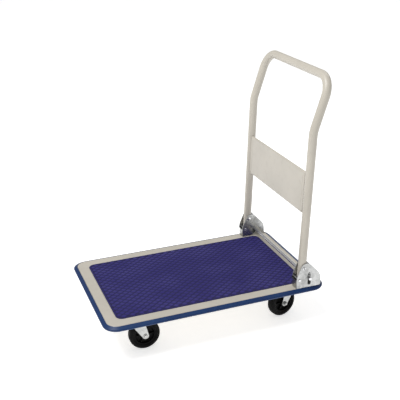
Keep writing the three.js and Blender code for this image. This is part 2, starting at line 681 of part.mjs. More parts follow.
// The moulded wheel centre: hub, web and the rim that the tyre sits on.
function wheelCentre() {
  const [hub, rim, web] = [HUB.length / 2 - HUB.recess, RIM.halfWidth, HUB_WEB_HALF];
  const [hubFoot, flange] = [HUB.radius + 1, RIM.flangeRadius];
  return ring([
    [HUB.bore, -hub], [HUB.radius, -hub], [hubFoot, -web], [flange, -web],
    [flange + 1, -rim], [RIM.radius, -rim], [RIM.radius, rim], [flange + 1, rim],
    [flange, web], [hubFoot, web], [HUB.radius, hub], [HUB.bore, hub],
  ], DISC_SEGMENTS);
}

function tyre() {
  const half = WHEEL_WIDTH / 2;
  const [bead, shoulder, tread] = [half - TYRE_FLANK.bead, half - TYRE_SHOULDER.inset, half - TYRE_TREAD_INSET];
  return ring([
    [TYRE_INNER_RADIUS, -bead], [TYRE_FLANK.radius, -half], [TYRE_SHOULDER.radius, -shoulder],
    [WHEEL_RADIUS, -tread], [WHEEL_RADIUS, tread],
    [TYRE_SHOULDER.radius, shoulder], [TYRE_FLANK.radius, half], [TYRE_INNER_RADIUS, bead],
  ], TYRE_SEGMENTS);
}

function addWheel(parent, name) {
  const wheel = new THREE.Group();
  wheel.position.set(FORK_OFFSET, 0, WHEEL_RADIUS);
  parent.add(wheel);
  addMesh(wheel, `${name}_tyre`, tyre(), BLACK_RUBBER);
  addMesh(wheel, `${name}_wheel_centre`, wheelCentre(), BLACK_PLASTIC);
  addMesh(wheel, `${name}_bearing_sleeve`, bearingSleeve(), ZINC);
  addMesh(wheel, `${name}_axle_bolt`, axleBolt(), ZINC);
  addMesh(wheel, `${name}_axle_nut`, axleNut(), ZINC);
}

for (const [sideName, side] of Object.entries(SIDES)) {
  const front = new THREE.Group();
  front.position.set(FIXED_X, side * FIXED_Y, 0);
  cart.add(front);
  addMesh(front, `front_${sideName}_fixed_fork`, fixedFork(), ZINC);
  addWheel(front, `front_${sideName}`);

  const rear = new THREE.Group();
  rear.position.set(SWIVEL_X, side * SWIVEL_Y, 0);
  cart.add(rear);
  addMesh(rear, `rear_${sideName}_swivel_plate`, swivelPlate(), ZINC);
  addMesh(rear, `rear_${sideName}_kingpin`, kingpin(), ZINC);
  const turning = new THREE.Group();
  turning.rotation.z = Math.PI - side * SWIVEL_YAW;
  rear.add(turning);
  addMesh(turning, `rear_${sideName}_ball_race`, ballRace(), ZINC);
  addMesh(turning, `rear_${sideName}_swivel_fork`, swivelFork(), ZINC);
  addWheel(turning, `rear_${sideName}`);
}

export default cart;
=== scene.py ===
"""Looks for a folding platform cart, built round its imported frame: deck, mat, edge bumper,
hinge brackets, folding tube handle with its panel, sprung foot bar and four casters.

Everything is in metres in the frame's own axes: +X towards the handle end, +Z up, floor at zero.
"""

import json
import logging
import math
from collections.abc import Iterable, Sequence
from dataclasses import dataclass
from enum import Enum
from typing import Union

import bmesh
import bpy
from mathutils import Matrix, Vector


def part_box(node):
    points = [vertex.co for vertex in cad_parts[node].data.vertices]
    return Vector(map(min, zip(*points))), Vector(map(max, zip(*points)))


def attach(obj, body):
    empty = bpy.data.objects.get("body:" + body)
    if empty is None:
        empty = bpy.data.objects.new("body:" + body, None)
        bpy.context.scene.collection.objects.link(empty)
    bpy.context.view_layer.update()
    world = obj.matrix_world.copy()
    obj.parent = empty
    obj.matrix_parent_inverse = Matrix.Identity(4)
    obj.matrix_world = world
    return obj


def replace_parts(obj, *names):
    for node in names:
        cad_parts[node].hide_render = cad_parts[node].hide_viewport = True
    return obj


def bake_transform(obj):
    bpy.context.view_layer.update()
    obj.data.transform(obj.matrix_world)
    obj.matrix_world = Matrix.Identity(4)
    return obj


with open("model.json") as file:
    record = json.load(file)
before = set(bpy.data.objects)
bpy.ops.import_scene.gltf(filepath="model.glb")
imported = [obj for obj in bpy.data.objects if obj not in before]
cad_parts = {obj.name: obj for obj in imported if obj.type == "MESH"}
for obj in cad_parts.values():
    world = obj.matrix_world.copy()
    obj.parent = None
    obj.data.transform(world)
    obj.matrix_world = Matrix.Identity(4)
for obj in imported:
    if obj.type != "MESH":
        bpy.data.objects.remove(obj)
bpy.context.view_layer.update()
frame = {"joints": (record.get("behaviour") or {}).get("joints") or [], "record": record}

MM = 0.001
LOG = logging.getLogger("cart")

Flat = tuple[float, float]
Colour = tuple[float, float, float]
Ring = list[Vector]
Number = Union["Wire", float]


# ---- Shader kit ---------------------------------------------------------------------------


class Wire:
    """A value inside a material that arithmetic can be written on."""

    def __init__(self, kit: "ShaderKit", socket: bpy.types.NodeSocket) -> None:
        self.kit = kit
        self.socket = socket

    def _math(self, operation: str, first: Number, second: Number) -> "Wire":
        """Adds one Math node and gives back its result."""
        return self.kit.node("ShaderNodeMath", {"operation": operation}, {0: first, 1: second})

    def __add__(self, other: Number) -> "Wire":
        """self + other."""
        return self._math("ADD", self, other)

    def __radd__(self, other: Number) -> "Wire":
        """other + self."""
        return self._math("ADD", other, self)

    def __rsub__(self, other: Number) -> "Wire":
        """other - self."""
        return self._math("SUBTRACT", other, self)

    def __mul__(self, other: Number) -> "Wire":
        """self * other."""
        return self._math("MULTIPLY", self, other)

    def ramp(self, low: float, high: float) -> "Wire":
        """Rises smoothly from 0 at `low` to 1 at `high`."""
        settings = {"interpolation_type": "SMOOTHSTEP"}
        return self.kit.node("ShaderNodeMapRange", settings, {"Value": self, 1: low, 2: high})


class ShaderKit:
    """Builds one node material round a Principled shader."""

    def __init__(self, name: str) -> None:
        """Starts an empty material of that name with its shader and output."""
        self.material = bpy.data.materials.new(name)
        self.material.use_nodes = True
        self.tree = self.material.node_tree
        self.tree.nodes.clear()
        self.shader = self.tree.nodes.new("ShaderNodeBsdfPrincipled")
        output = self.tree.nodes.new("ShaderNodeOutputMaterial")
        self.tree.links.new(self.shader.outputs["BSDF"], output.inputs["Surface"])
        self.place = self.node("ShaderNodeTexCoord", {}, {}, "Object")

    def feed(self, socket: bpy.types.NodeSocket, value: object) -> None:
        """Links a Wire to a socket, or sets the socket to a plain value."""
        if isinstance(value, Wire):
            self.tree.links.new(value.socket, socket)
        elif isinstance(value, tuple) and len(value) == 3 and len(socket.default_value) == 4:
            socket.default_value = (*value, 1.0)
        else:
            socket.default_value = value

    def node(self, kind: str, settings: dict, inputs: dict, output: Union[int, str] = 0) -> Wire:
        """Adds a node.

        Args:
            kind: the node's type.
            settings: attributes of the node, which are set first.
            inputs: value or Wire for each socket, by its name or number.
            output: name or number of the output to give back.

        Returns:
            The output as a Wire.
        """
        made = self.tree.nodes.new(kind)
        for key, value in settings.items():
            setattr(made, key, value)
        for key, value in inputs.items():
            self.feed(made.inputs[key], value)
        return Wire(self, made.outputs[output])

    def noise(self, scale: float, detail: float = 3.0, stretch: Colour = (1, 1, 1)) -> Wire:
        """Soft noise between 0 and 1, with `scale` waves to the metre, stretched along the axes."""
        spot = self.node("ShaderNodeVectorMath", {"operation": "MULTIPLY"}, {0: self.place, 1: stretch})
        return self.node("ShaderNodeTexNoise", {}, {"Vector": spot, "Scale": scale, "Detail": detail})

    def cells(self, scale: float) -> Wire:
        """A random level between 0 and 1 for each crystal-like cell."""
        colour = self.node("ShaderNodeTexVoronoi", {}, {"Vector": self.place, "Scale": scale}, "Color")
        return self.node("ShaderNodeSeparateColor", {}, {0: colour}, 0)

    def height(self) -> Wire:
        """Height above the floor at rest, in metres."""
        return self.node("ShaderNodeSeparateXYZ", {}, {0: self.place}, "Z")

    def mix(self, share: Number, low: object, high: object) -> Wire:
        """A colour between `low` and `high`."""
        made = self.tree.nodes.new("ShaderNodeMix")
        made.data_type = "RGBA"
        for index, value in ((0, share), (6, low), (7, high)):
            self.feed(made.inputs[index], value)
        return Wire(self, made.outputs[2])

    def bump(self, height: Wire, depth: float, strength: float = 1.0) -> None:
        """Feeds the shader's normal with a surface relief of `depth` metres."""
        relief = {"Height": height, "Distance": depth, "Strength": strength}
        self.feed(self.shader.inputs["Normal"], self.node("ShaderNodeBump", {}, relief))

    def dress(self, **sockets: object) -> bpy.types.Material:
        """Sets the shader's sockets, with _ for a space in their names, and gives the material."""
        for name, value in sockets.items():
            self.feed(self.shader.inputs[name.replace("_", " ")], value)
        return self.material


# ---- Finishes -----------------------------------------------------------------------------


@dataclass(frozen=True)
class Enamel:
    """Smooth stove enamel over steel, with a faint orange-peel skin and a little uneven gloss."""

    slot: str
    colour: Colour
    shade: Colour
    gloss: Flat = (0.34, 0.5)

    def build(self) -> bpy.types.Material:
        """The enamel's material."""
        kit = ShaderKit(self.slot)
        cloud = kit.noise(7.0).ramp(0.35, 0.65)
        handling = kit.noise(55.0, 5.0).ramp(0.5, 0.75)
        colour = kit.mix(cloud * 0.6 + handling * 0.25, self.colour, self.shade)
        kit.bump(kit.noise(900.0, 1.0), 0.06 * MM, 0.35)
        roughness = self.gloss[0] + handling * (self.gloss[1] - self.gloss[0])
        return kit.dress(Base_Color=colour, Roughness=roughness)


@dataclass(frozen=True)
class MouldedMat:
    """Moulded vinyl, with painted shade in the valleys between its raised lozenges and a painted highlight
    in patches on their tops.
    """

    slot: str
    colour: Colour
    # painted shade for the valleys between the lozenges
    valley_shade: Colour
    # painted highlight for the lozenges' tops
    crest_highlight: Colour
    valley_z: float
    crest_z: float

    def build(self) -> bpy.types.Material:
        """The mat's material."""
        kit = ShaderKit(self.slot)
        raised = kit.height().ramp(self.valley_z, self.crest_z)
        # Patches where the tops are worn glossier and where their painted highlight shows.
        wear_and_highlight = kit.noise(9.0, 4.0).ramp(0.35, 0.7)
        grain = kit.noise(1400.0, 2.0)
        # Painted shade: the valleys darken towards the valley colour.
        low = kit.mix(raised, self.valley_shade, self.colour)
        # Painted highlight on the lozenge tops, in patches.
        colour = kit.mix(raised * wear_and_highlight * 0.55, low, self.crest_highlight)
        kit.bump(grain, 0.08 * MM, 0.5)
        roughness = 0.6 - raised * wear_and_highlight * 0.14 + grain * 0.06
        return kit.dress(Base_Color=colour, Roughness=roughness, Specular_IOR_Level=0.28)


@dataclass(frozen=True)
class Extrusion:
    """Extruded vinyl edging with scuffs along its length."""

    slot: str
    colour: Colour
    scuff: Colour

    def build(self) -> bpy.types.Material:
        """The edging's material."""
        kit = ShaderKit(self.slot)
        cloud = kit.noise(12.0, 3.0).ramp(0.3, 0.7)
        rubbed = kit.noise(60.0, 6.0, (1, 1, 5)).ramp(0.55, 0.75)
        colour = kit.mix(cloud * 0.2 + rubbed * 0.3, self.colour, self.scuff)
        kit.bump(kit.noise(700.0, 2.0), 0.05 * MM, 0.4)
        return kit.dress(Base_Color=colour, Roughness=0.4 + rubbed * 0.2, Specular_IOR_Level=0.35)


@dataclass(frozen=True)
class Plated:
    """Zinc-plated or drawn steel: crystal spangle or fine lines, and duller handled areas."""

    slot: str
    colour: Colour
    dull: Colour
    spangle: float
    gloss: Flat
    lines: bool = False

    def build(self) -> bpy.types.Material:
        """The plating's material."""
        kit = ShaderKit(self.slot)
        crystal = kit.noise(self.spangle, 2.0, (1, 0.02, 1)) if self.lines else kit.cells(self.spangle)
        cloud = kit.noise(26.0, 4.0).ramp(0.35, 0.7)
        colour = kit.mix(crystal * 0.35 + cloud * 0.4, self.colour, self.dull)
        fine = kit.noise(500.0, 2.0, (1, 0.04, 1) if self.lines else (1, 1, 1))
        kit.bump(fine, 0.03 * MM, 0.35)
        span = self.gloss[1] - self.gloss[0]
        roughness = self.gloss[0] + crystal * (span * 0.4) + cloud * (span * 0.6)
        return kit.dress(Base_Color=colour, Roughness=roughness, Metallic=1.0)


@dataclass(frozen=True)
class Black:
    """Black rubber or plastic with a fine grain and a breath of dust near the floor."""

    slot: str
    colour: Colour
    dust: Colour
    gloss: Flat
    grain: float

    def build(self) -> bpy.types.Material:
        """The rubber's or plastic's material."""
        kit = ShaderKit(self.slot)
        mottle = kit.noise(70.0, 5.0).ramp(0.45, 0.75)
        low = 1 - kit.height().ramp(0.0, 0.03)
        colour = kit.mix(mottle * 0.35 + low * mottle * 0.4, self.colour, self.dust)
        kit.bump(kit.noise(self.grain, 3.0), 0.08 * MM, 0.5)
        roughness = self.gloss[0] + mottle * (self.gloss[1] - self.gloss[0])
        return kit.dress(Base_Color=colour, Roughness=roughness, Specular_IOR_Level=0.14)


MAT_LOW, MAT_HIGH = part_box("anti_slip_mat")
MAT_FIELD_Z = MAT_HIGH.z - 0.75 * MM
MAT_CREST_Z = MAT_HIGH.z + 0.3 * MM


class Finish(Enum):
    """The cart's finishes, each named for its material slot."""

    CREAM = Enamel("cream_paint", (0.52, 0.485, 0.42), (0.46, 0.43, 0.372))
    # The mat's second colour is painted shade for its valleys, its third a painted highlight on its crests.
    MAT = MouldedMat(
        "blue_mat", (0.022, 0.017, 0.140), (0.009, 0.007, 0.062), (0.042, 0.036, 0.19),
        MAT_FIELD_Z, MAT_CREST_Z)
    BUMPER = Extrusion("blue_bumper", (0.002, 0.022, 0.10), (0.008, 0.07, 0.2))
    ZINC = Plated("zinc_plate", (0.50, 0.505, 0.50), (0.25, 0.255, 0.25), 150.0, (0.18, 0.4))
    STEEL = Plated("bright_steel", (0.78, 0.78, 0.79), (0.62, 0.62, 0.64), 220.0, (0.14, 0.3), True)
    RUBBER = Black("black_rubber", (0.0015, 0.0015, 0.0018), (0.006, 0.006, 0.0055), (0.6, 0.85), 900.0)
    PLASTIC = Black("black_plastic", (0.0015, 0.0015, 0.0018), (0.005, 0.005, 0.005), (0.5, 0.7), 500.0)


MATERIALS: dict[Finish, bpy.types.Material] = {}


def material(finish: Finish) -> bpy.types.Material:
    """The finish's material, built when it is first asked for."""
    if finish not in MATERIALS:
        MATERIALS[finish] = finish.value.build()
    return MATERIALS[finish]


# ---- Shapes -------------------------------------------------------------------------------


class Axis(Enum):
    """Which way an outline is pushed out. Each holds the world place of (across, up, along)."""

    X = Matrix(((0, 0, 1, 0), (1, 0, 0, 0), (0, 1, 0, 0), (0, 0, 0, 1)))
    Y = Matrix(((1, 0, 0, 0), (0, 0, 1, 0), (0, 1, 0, 0), (0, 0, 0, 1)))
    Z = Matrix(((1, 0, 0, 0), (0, 1, 0, 0), (0, 0, 1, 0), (0, 0, 0, 1)))


class Shape:
    """A closed body being worked. Shapes join with +, cut with - and keep what they share with &."""

    def __init__(self, points: Iterable[Sequence[float]], faces: Iterable[Sequence[int]]) -> None:
        """Makes the body from its points and faces, with every face turned outwards."""
        self.mesh = bpy.data.meshes.new("shape")
        self.mesh.from_pydata([tuple(p) for p in points], [], [tuple(f) for f in faces])
        self._turn_faces_out()

    def _turn_faces_out(self) -> None:
        """Makes all normals agree and point outwards."""
        work = bmesh.new()
        work.from_mesh(self.mesh)
        bmesh.ops.recalc_face_normals(work, faces=work.faces)
        work.to_mesh(self.mesh)
        work.free()

    def _through(self, modify: str, **settings: object) -> "Shape":
        """Runs one modifier on the body and keeps its result."""
        holder = bpy.data.objects.new("work", self.mesh)
        bpy.context.scene.collection.objects.link(holder)
        modifier = holder.modifiers.new("work", modify)
        for key, value in settings.items():
            setattr(modifier, key, value)
        graph = bpy.context.evaluated_depsgraph_get()
        self.mesh = bpy.data.meshes.new_from_object(holder.evaluated_get(graph))
        bpy.data.objects.remove(holder)
        return self

    def _boolean(self, other: "Shape", operation: str) -> "Shape":
        """Joins, cuts or keeps the common part with another body."""
        tool = bpy.data.objects.new("tool", other.mesh)
        bpy.context.scene.collection.objects.link(tool)
        self._through("BOOLEAN", operation=operation, solver="EXACT", object=tool)
        bpy.data.objects.remove(tool)
        return self

    def __add__(self, other: "Shape") -> "Shape":
        """This body joined with the other."""
        return self._boolean(other, "UNION")

    def __sub__(self, other: "Shape") -> "Shape":
        """This body with the other cut out of it."""
        return self._boolean(other, "DIFFERENCE")

    def __and__(self, other: "Shape") -> "Shape":
        """What the two bodies share."""
        return self._boolean(other, "INTERSECT")

    def beside(self, *others: "Shape") -> "Shape":
        """This body with loose others kept in the same mesh."""
        work = bmesh.new()
        for shape in (self, *others):
            work.from_mesh(shape.mesh)
        work.to_mesh(self.mesh)
        work.free()
        return self

    def moved(self, place: Matrix) -> "Shape":
        """This body, carried to its place."""
        self.mesh.transform(place)
        if place.determinant() < 0:
            self.mesh.flip_normals()
        return self

    def at(self, x: float = 0.0, y: float = 0.0, z: float = 0.0) -> "Shape":
        """This body, carried along by x, y and z."""
        return self.moved(Matrix.Translation((x, y, z)))

    def eased(self, edge: float, steps: int = 2) -> "Shape":
        """This body with its sharp edges rounded over."""
        limit = math.radians(32)
        return self._through("BEVEL", width=edge, segments=steps, limit_method="ANGLE", angle_limit=limit)


def mm(*points: Flat) -> list[Flat]:
    """Points that are written in millimetres, in metres."""
    return [(a * MM, b * MM) for a, b in points]


def doubled(half: Sequence[Flat], across: bool = False) -> list[Flat]:
    """Half an outline and, back along it, its mirror image.

    Args:
        half: the points of one half.
        across: whether the first coordinate changes sign, and not the second.

    Returns:
        The whole outline.
    """
    flip = (-1, 1) if across else (1, -1)
    return [*half, *[(a * flip[0], b * flip[1]) for a, b in reversed(half)]]


def arc(centre: Flat, radius: float, start: float, end: float, steps: int) -> list[Flat]:
    """Points along a circle from one angle to another, in degrees."""
    angles = [math.radians(start + (end - start) * i / steps) for i in range(steps + 1)]
    return [(centre[0] + radius * math.cos(a), centre[1] + radius * math.sin(a)) for a in angles]


def round_outline(radius: float, steps: int) -> list[Flat]:
    """A full circle's points, without the last that would repeat the first."""
    return arc((0, 0), radius, 0, 360, steps)[:-1]


def curve(start: Flat, pull: Flat, end: Flat, steps: int = 10) -> list[Flat]:
    """Points along a quadratic curve that `pull` draws out, without its start."""
    shares = [i / steps for i in range(1, steps + 1)]
    return [
        tuple((1 - t) ** 2 * a + 2 * t * (1 - t) * b + t * t * c for a, b, c in zip(start, pull, end))
        for t in shares
    ]


def skin(rings: Sequence[Ring], closed_along: bool = False) -> Shape:
    """A body from rings of points, capped at both ends unless it closes on itself.

    Args:
        rings: rings of equal length, one after the other.
        closed_along: whether the last ring joins the first.

    Returns:
        The body.
    """
    count = len(rings[0])
    points = [p for ring in rings for p in ring]
    spans = len(rings) if closed_along else len(rings) - 1
    faces = []
    for i in range(spans):
        here, there = i * count, (i + 1) % len(rings) * count
        for j in range(count):
            k = (j + 1) % count
            faces.append((here + j, here + k, there + k, there + j))
    if not closed_along:
        faces.append(tuple(range(count)))
        faces.append(tuple((len(rings) - 1) * count + j for j in range(count)))
    return Shape(points, faces)


def prism(outline: Sequence[Flat], low: float, high: float, axis: Axis) -> Shape:
    """An outline of (across, up) pushed from `low` to `high` along the axis."""
    rings = [[axis.value @ Vector((a, b, c)) for a, b in outline] for c in (low, high)]
    return skin(rings)


def block(x0: float, x1: float, y0: float, y1: float, z0: float, z1: float) -> Shape:
    """A plain block between its limits."""
    return prism([(x0, y0), (x1, y0), (x1, y1), (x0, y1)], z0, z1, Axis.Z)


def turned(profile: Sequence[Flat], axis: Axis, steps: int = 48) -> Shape:
    """A turned body from a profile of (radius, distance along the axis).

    A profile with bore radii above zero at both ends closes on itself as a ring.
    """
    hollow = min(profile[0][0], profile[-1][0]) > 0
    rings = []
    for radius, along in profile:
        circle = round_outline(max(radius, 1e-6), steps)
        rings.append([axis.value @ Vector((a, b, along)) for a, b in circle])
    return skin(rings, closed_along=hollow)


def rod(radius: float, low: float, high: float, axis: Axis, steps: int = 32) -> Shape:
    """A plain round rod along an axis."""
    return prism(round_outline(radius, steps), low, high, axis)


def hexagon(across_corners: float, low: float, high: float, axis: Axis) -> Shape:
    """A hexagonal head or nut whose outer corners are turned down, as on a real one."""
    radius, height = across_corners / 2, high - low
    face, rim, fall = radius * 0.9, radius * 1.01, height * 0.16
    head = prism(round_outline(radius, 6), low, high, axis)
    trim = [(0, low), (face, low), (rim, low + fall), (rim, high - fall), (face, high), (0, high)]
    return head & turned(trim, axis)


def swept(path: Sequence[Vector], radius: float, bore: float = 0.0, steps: int = 32) -> Shape:
    """A round wire or tube along a path.

    Args:
        path: centre-line points.
        radius: outside radius.
        bore: inside radius, or 0 for solid wire.
        steps: sides of the section.

    Returns:
        The body, whose section turns as little as it can along the way.
    """
    before, after = [path[0], *path[:-1]], [*path[1:], path[-1]]
    tangents = [(b - a).normalized() for a, b in zip(before, after)]
    normal = tangents[0].orthogonal().normalized()
    frames = []
    for i, tangent in enumerate(tangents):
        if i:
            normal = tangents[i - 1].rotation_difference(tangent) @ normal
        frames.append((path[i], normal.copy(), tangent.cross(normal)))

    def ring(spot: Vector, across: Vector, up: Vector, size: float) -> Ring:
        """One round section."""
        return [spot + across * a + up * b for a, b in round_outline(size, steps)]

    outside = [ring(*place, radius) for place in frames]
    if not bore:
        return skin(outside)
    inside = [ring(*place, bore) for place in reversed(frames)]
    return skin(outside + inside, closed_along=True)


@dataclass(frozen=True)
class RoundedRect:
    """A level rectangle with round corners."""

    x0: float
    x1: float
    y0: float
    y1: float
    radius: float
    steps: int = 14

    def ring(self, growth: float, z: float) -> Ring:
        """The outline grown outwards, at a height."""
        r, size = self.radius, max(self.radius + growth, 0.1 * MM)
        corners = [
            ((self.x1 - r, self.y0 + r), -90), ((self.x1 - r, self.y1 - r), 0),
            ((self.x0 + r, self.y1 - r), 90), ((self.x0 + r, self.y0 + r), 180),
        ]
        flat = [p for centre, start in corners for p in arc(centre, size, start, start + 90, self.steps)]
        return [Vector((a, b, z)) for a, b in flat]

    @classmethod
    def of_node(cls, node: str, radius: float, growth: float = 0.0) -> "RoundedRect":
        """The rectangle that a node's box has from above, made smaller or larger."""
        low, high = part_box(node)
        return cls(low.x - growth, high.x + growth, low.y - growth, high.y + growth, radius)


# ---- Pieces -------------------------------------------------------------------------------


BODY_OF = {n: body for body, nodes in frame["record"]["behaviour"]["bodies"].items() for n in nodes}
JOINTS = {joint["name"]: joint for joint in frame["joints"]}


def place_piece(
    shape: Shape, name: str, finish: Finish, nodes: Sequence[str], ride: bool = True, sharp: float = 34.0
) -> bpy.types.Object:
    """Makes a shown piece out of a shape.

    Args:
        shape: the finished body, in the frame's axes.
        name: the piece's name.
        finish: what it is made of.
        nodes: the CAD nodes that it stands for, or the one whose body it rides on.
        ride: whether it rides on that body, which a piece that bends across a joint doesn't.
        sharp: the angle, in degrees, above which an edge shows as a crease.

    Returns:
        The object.
    """
    mesh = shape.mesh
    mesh.name = name
    mesh.materials.clear()
    mesh.materials.append(material(finish))
    mesh.shade_smooth()
    mesh.set_sharp_from_angle(angle=math.radians(sharp))
    piece = bpy.data.objects.new(name, mesh)
    bpy.context.scene.collection.objects.link(piece)
    if ride:
        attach(piece, BODY_OF[nodes[0]])
    LOG.info("%s: %d faces, %s", name, len(mesh.polygons), finish.value.slot)
    return piece


def replace_node(shape: Shape, node: str, finish: Finish, sharp: float = 34.0) -> bpy.types.Object:
    """Makes a piece that stands for one CAD node and rides on that node's body."""
    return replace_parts(place_piece(shape, f"{node}_body", finish, [node], sharp=sharp), node)


@dataclass
class Deck:
    """The pressed deck pan, its mat, its bumper and the channels underneath."""

    corner: float = 34 * MM
    mat_corner: float = 21 * MM
    sheet: float = 2.4 * MM
    edge_round: float = 2.6 * MM
    recess: float = 1.2 * MM
    gap: float = 0.3 * MM
    mat_border: float = 6 * MM
    skirt_ease: float = 0.4 * MM
    inner_bend: float = 1.5 * MM
    lip: float = 5 * MM
    channel_bend: Flat = (4 * MM, 2 * MM)
    member_sheets: Flat = (2.5 * MM, 4 * MM)
    stiffener_sheets: Flat = (2 * MM, 2 * MM)
    lozenge_pitch: Flat = (28 * MM, 21 * MM)
    lozenge_fill: float = 0.88
    mat_margin: float = 4.5 * MM

    def build(self) -> None:
        """Builds every piece of the deck."""
        self.outline = RoundedRect.of_node("deck_pan", self.corner)
        self.mat_outline = RoundedRect.of_node("anti_slip_mat", self.mat_corner)
        replace_node(self.pan(), "deck_pan", Finish.CREAM)
        replace_node(self.mat(), "anti_slip_mat", Finish.MAT, 50.0)
        replace_node(self.bumper(), "edge_bumper", Finish.BUMPER, 46.0)
        for node in ("front_cross_member", "rear_cross_member"):
            replace_node(self.cross_member(node), node, Finish.CREAM)
        for node in ("deck_stiffener_left", "deck_stiffener_right"):
            replace_node(self.stiffener(node), node, Finish.CREAM)

    def pan(self) -> Shape:
        """The pan: a recess for the mat, a plain border, a rounded edge and a skirt."""
        low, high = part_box("deck_pan")
        floor, top, under = high.z - self.recess, high.z, high.z - self.sheet
        mat, deck, r = self.mat_outline, self.outline, self.edge_round
        recess = [(-1.0, 0.0), (-0.2, 0.05), (0.0, 0.25)]
        brim = [(0.1, 0.6), (0.5, 0.15), (1.3, 0.0)]
        rings = [mat.ring(self.gap + growth * MM, floor + rise * MM) for growth, rise in recess]
        rings += [mat.ring(self.gap + growth * MM, top - fall * MM) for growth, fall in brim]
        rings += [mat.ring(self.mat_border, top), deck.ring(-2.2 * r, top)]
        for turn in range(0, 91, 15):
            a = math.radians(turn)
            rings.append(deck.ring(r * (math.sin(a) - 1), top - r * (1 - math.cos(a))))
        ease, bend = self.skirt_ease, self.inner_bend
        outside, inside = 0.0, -self.sheet
        rings += [
            deck.ring(outside, low.z + ease), deck.ring(outside - ease, low.z),
            deck.ring(inside + ease, low.z), deck.ring(inside, low.z + ease),
            deck.ring(inside, under - bend), deck.ring(inside - 0.3 * bend, under - 0.3 * bend),
            deck.ring(inside - bend, under),
        ]
        return skin(rings)

    def mat(self) -> Shape:
        """The mat: a rimmed sheet with rows of raised lozenges in its field."""
        bottom, top, rim = MAT_LOW.z, MAT_HIGH.z - 0.2 * MM, self.mat_outline
        sheet = skin([
            rim.ring(-0.4 * MM, bottom), rim.ring(0, bottom + 0.4 * MM), rim.ring(0, top - 0.8 * MM),
            rim.ring(-0.25 * MM, top - 0.25 * MM), rim.ring(-0.8 * MM, top),
            rim.ring(0.8 * MM - self.mat_margin, top),
            rim.ring(-self.mat_margin, MAT_FIELD_Z),
        ])
        return sheet.beside(self.lozenges())

    def lozenges(self) -> Shape:
        """Staggered rows of raised lozenges with softened tops, trimmed straight at the field's edge."""
        (pitch_x, pitch_y), edge = self.lozenge_pitch, self.mat_margin + 0.4 * MM
        rim = self.mat_outline
        x0, x1, y0, y1 = rim.x0 + edge, rim.x1 - edge, rim.y0 + edge, rim.y1 - edge
        centre = Vector(((x0 + x1) / 2, (y0 + y1) / 2))
        rise = MAT_CREST_Z - MAT_FIELD_Z
        tiers = [(1.0, -0.02 * MM), (0.84, rise * 0.62), (0.62, rise * 0.93), (0.34, rise)]
        columns, rows = int((x1 - x0) / pitch_x) + 2, int((y1 - y0) / pitch_y) + 2
        points: list[Vector] = []
        faces: list[tuple[int, ...]] = []
        for i in range(-columns, columns + 1):
            for j in range(-rows, rows + 1):
                if (i + j) % 2:
                    continue
                middle = centre + Vector((i * pitch_x / 2, j * pitch_y / 2))
                if not self._in_field(middle, edge):
                    continue
                start = len(points)
                for scale, height in tiers:
                    reach = Vector((pitch_x, pitch_y)) / 2 * self.lozenge_fill * scale
                    for dx, dy in ((1, 0), (0, 1), (-1, 0), (0, -1)):
                        x = min(max(middle.x + dx * reach.x, x0), x1)
                        y = min(max(middle.y + dy * reach.y, y0), y1)
                        points.append(Vector((x, y, MAT_FIELD_Z + height)))
                for tier in range(len(tiers) - 1):
                    for k in range(4):
                        a, b = start + tier * 4 + k, start + tier * 4 + (k + 1) % 4
                        faces.append((a, b, b + 4, a + 4))
                last = start + (len(tiers) - 1) * 4
                faces.append((last, last + 1, last + 2, last + 3))
                faces.append((start + 3, start + 2, start + 1, start))
        return Shape(points, faces)

    def _in_field(self, spot: Vector, edge: float) -> bool:
        """Whether a lozenge centred there stands inside the mat's rim and its round corners."""
        rim, room = self.mat_outline, edge + 1.5 * MM
        if not (rim.x0 + room < spot.x < rim.x1 - room and rim.y0 + room < spot.y < rim.y1 - room):
            return False
        dx = max(rim.x0 + rim.radius - spot.x, spot.x - rim.x1 + rim.radius, 0)
        dy = max(rim.y0 + rim.radius - spot.y, spot.y - rim.y1 + rim.radius, 0)
        return math.hypot(dx, dy) < rim.radius - edge - 5 * MM

    def bumper(self) -> Shape:
        """The bumper: a rounded nose with a fine groove, and a lip that clips under the skirt."""
        low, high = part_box("edge_bumper")
        lip, gap = self.lip, self.gap
        nose = (high.y - low.y) / 2 - (self.outline.y1 - self.outline.y0) / 2
        top, bottom = high.z, low.z
        middle = (top + bottom) / 2
        seat = [(gap, top - 1.0 * MM), (gap + 0.4 * MM, top - 0.2 * MM), (gap + 0.9 * MM, top)]
        falls = [(0.28, 1.5), (0.5, 2.8), (0.72, 4.1), (0.86, 5.0), (0.95, 5.7)]
        slope = [(nose * share, top - fall * MM) for share, fall in falls]
        groove = [(nose - depth * MM, middle + rise * MM) for depth, rise in (
            (0, 0.7), (0.25, 0.4), (0.8, 0), (0.25, -0.5), (0, -1.1))]
        underside = [
            (nose * 0.97, middle - 3.2 * MM), (nose * 0.84, bottom + 1.5 * MM),
            (nose * 0.6, bottom + 0.2 * MM), (nose * 0.4, bottom),
        ]
        clip = [
            (-lip + 0.5 * MM, bottom), (-lip, bottom + 0.5 * MM), (-lip, bottom + 1.7 * MM),
            (-lip + 0.4 * MM, bottom + 2.1 * MM), (0, bottom + 2.1 * MM), (gap, bottom + 2.4 * MM),
        ]
        profile = [*seat, *slope, *groove, *underside, *clip]
        return skin([self.outline.ring(growth, z) for growth, z in profile], closed_along=True)

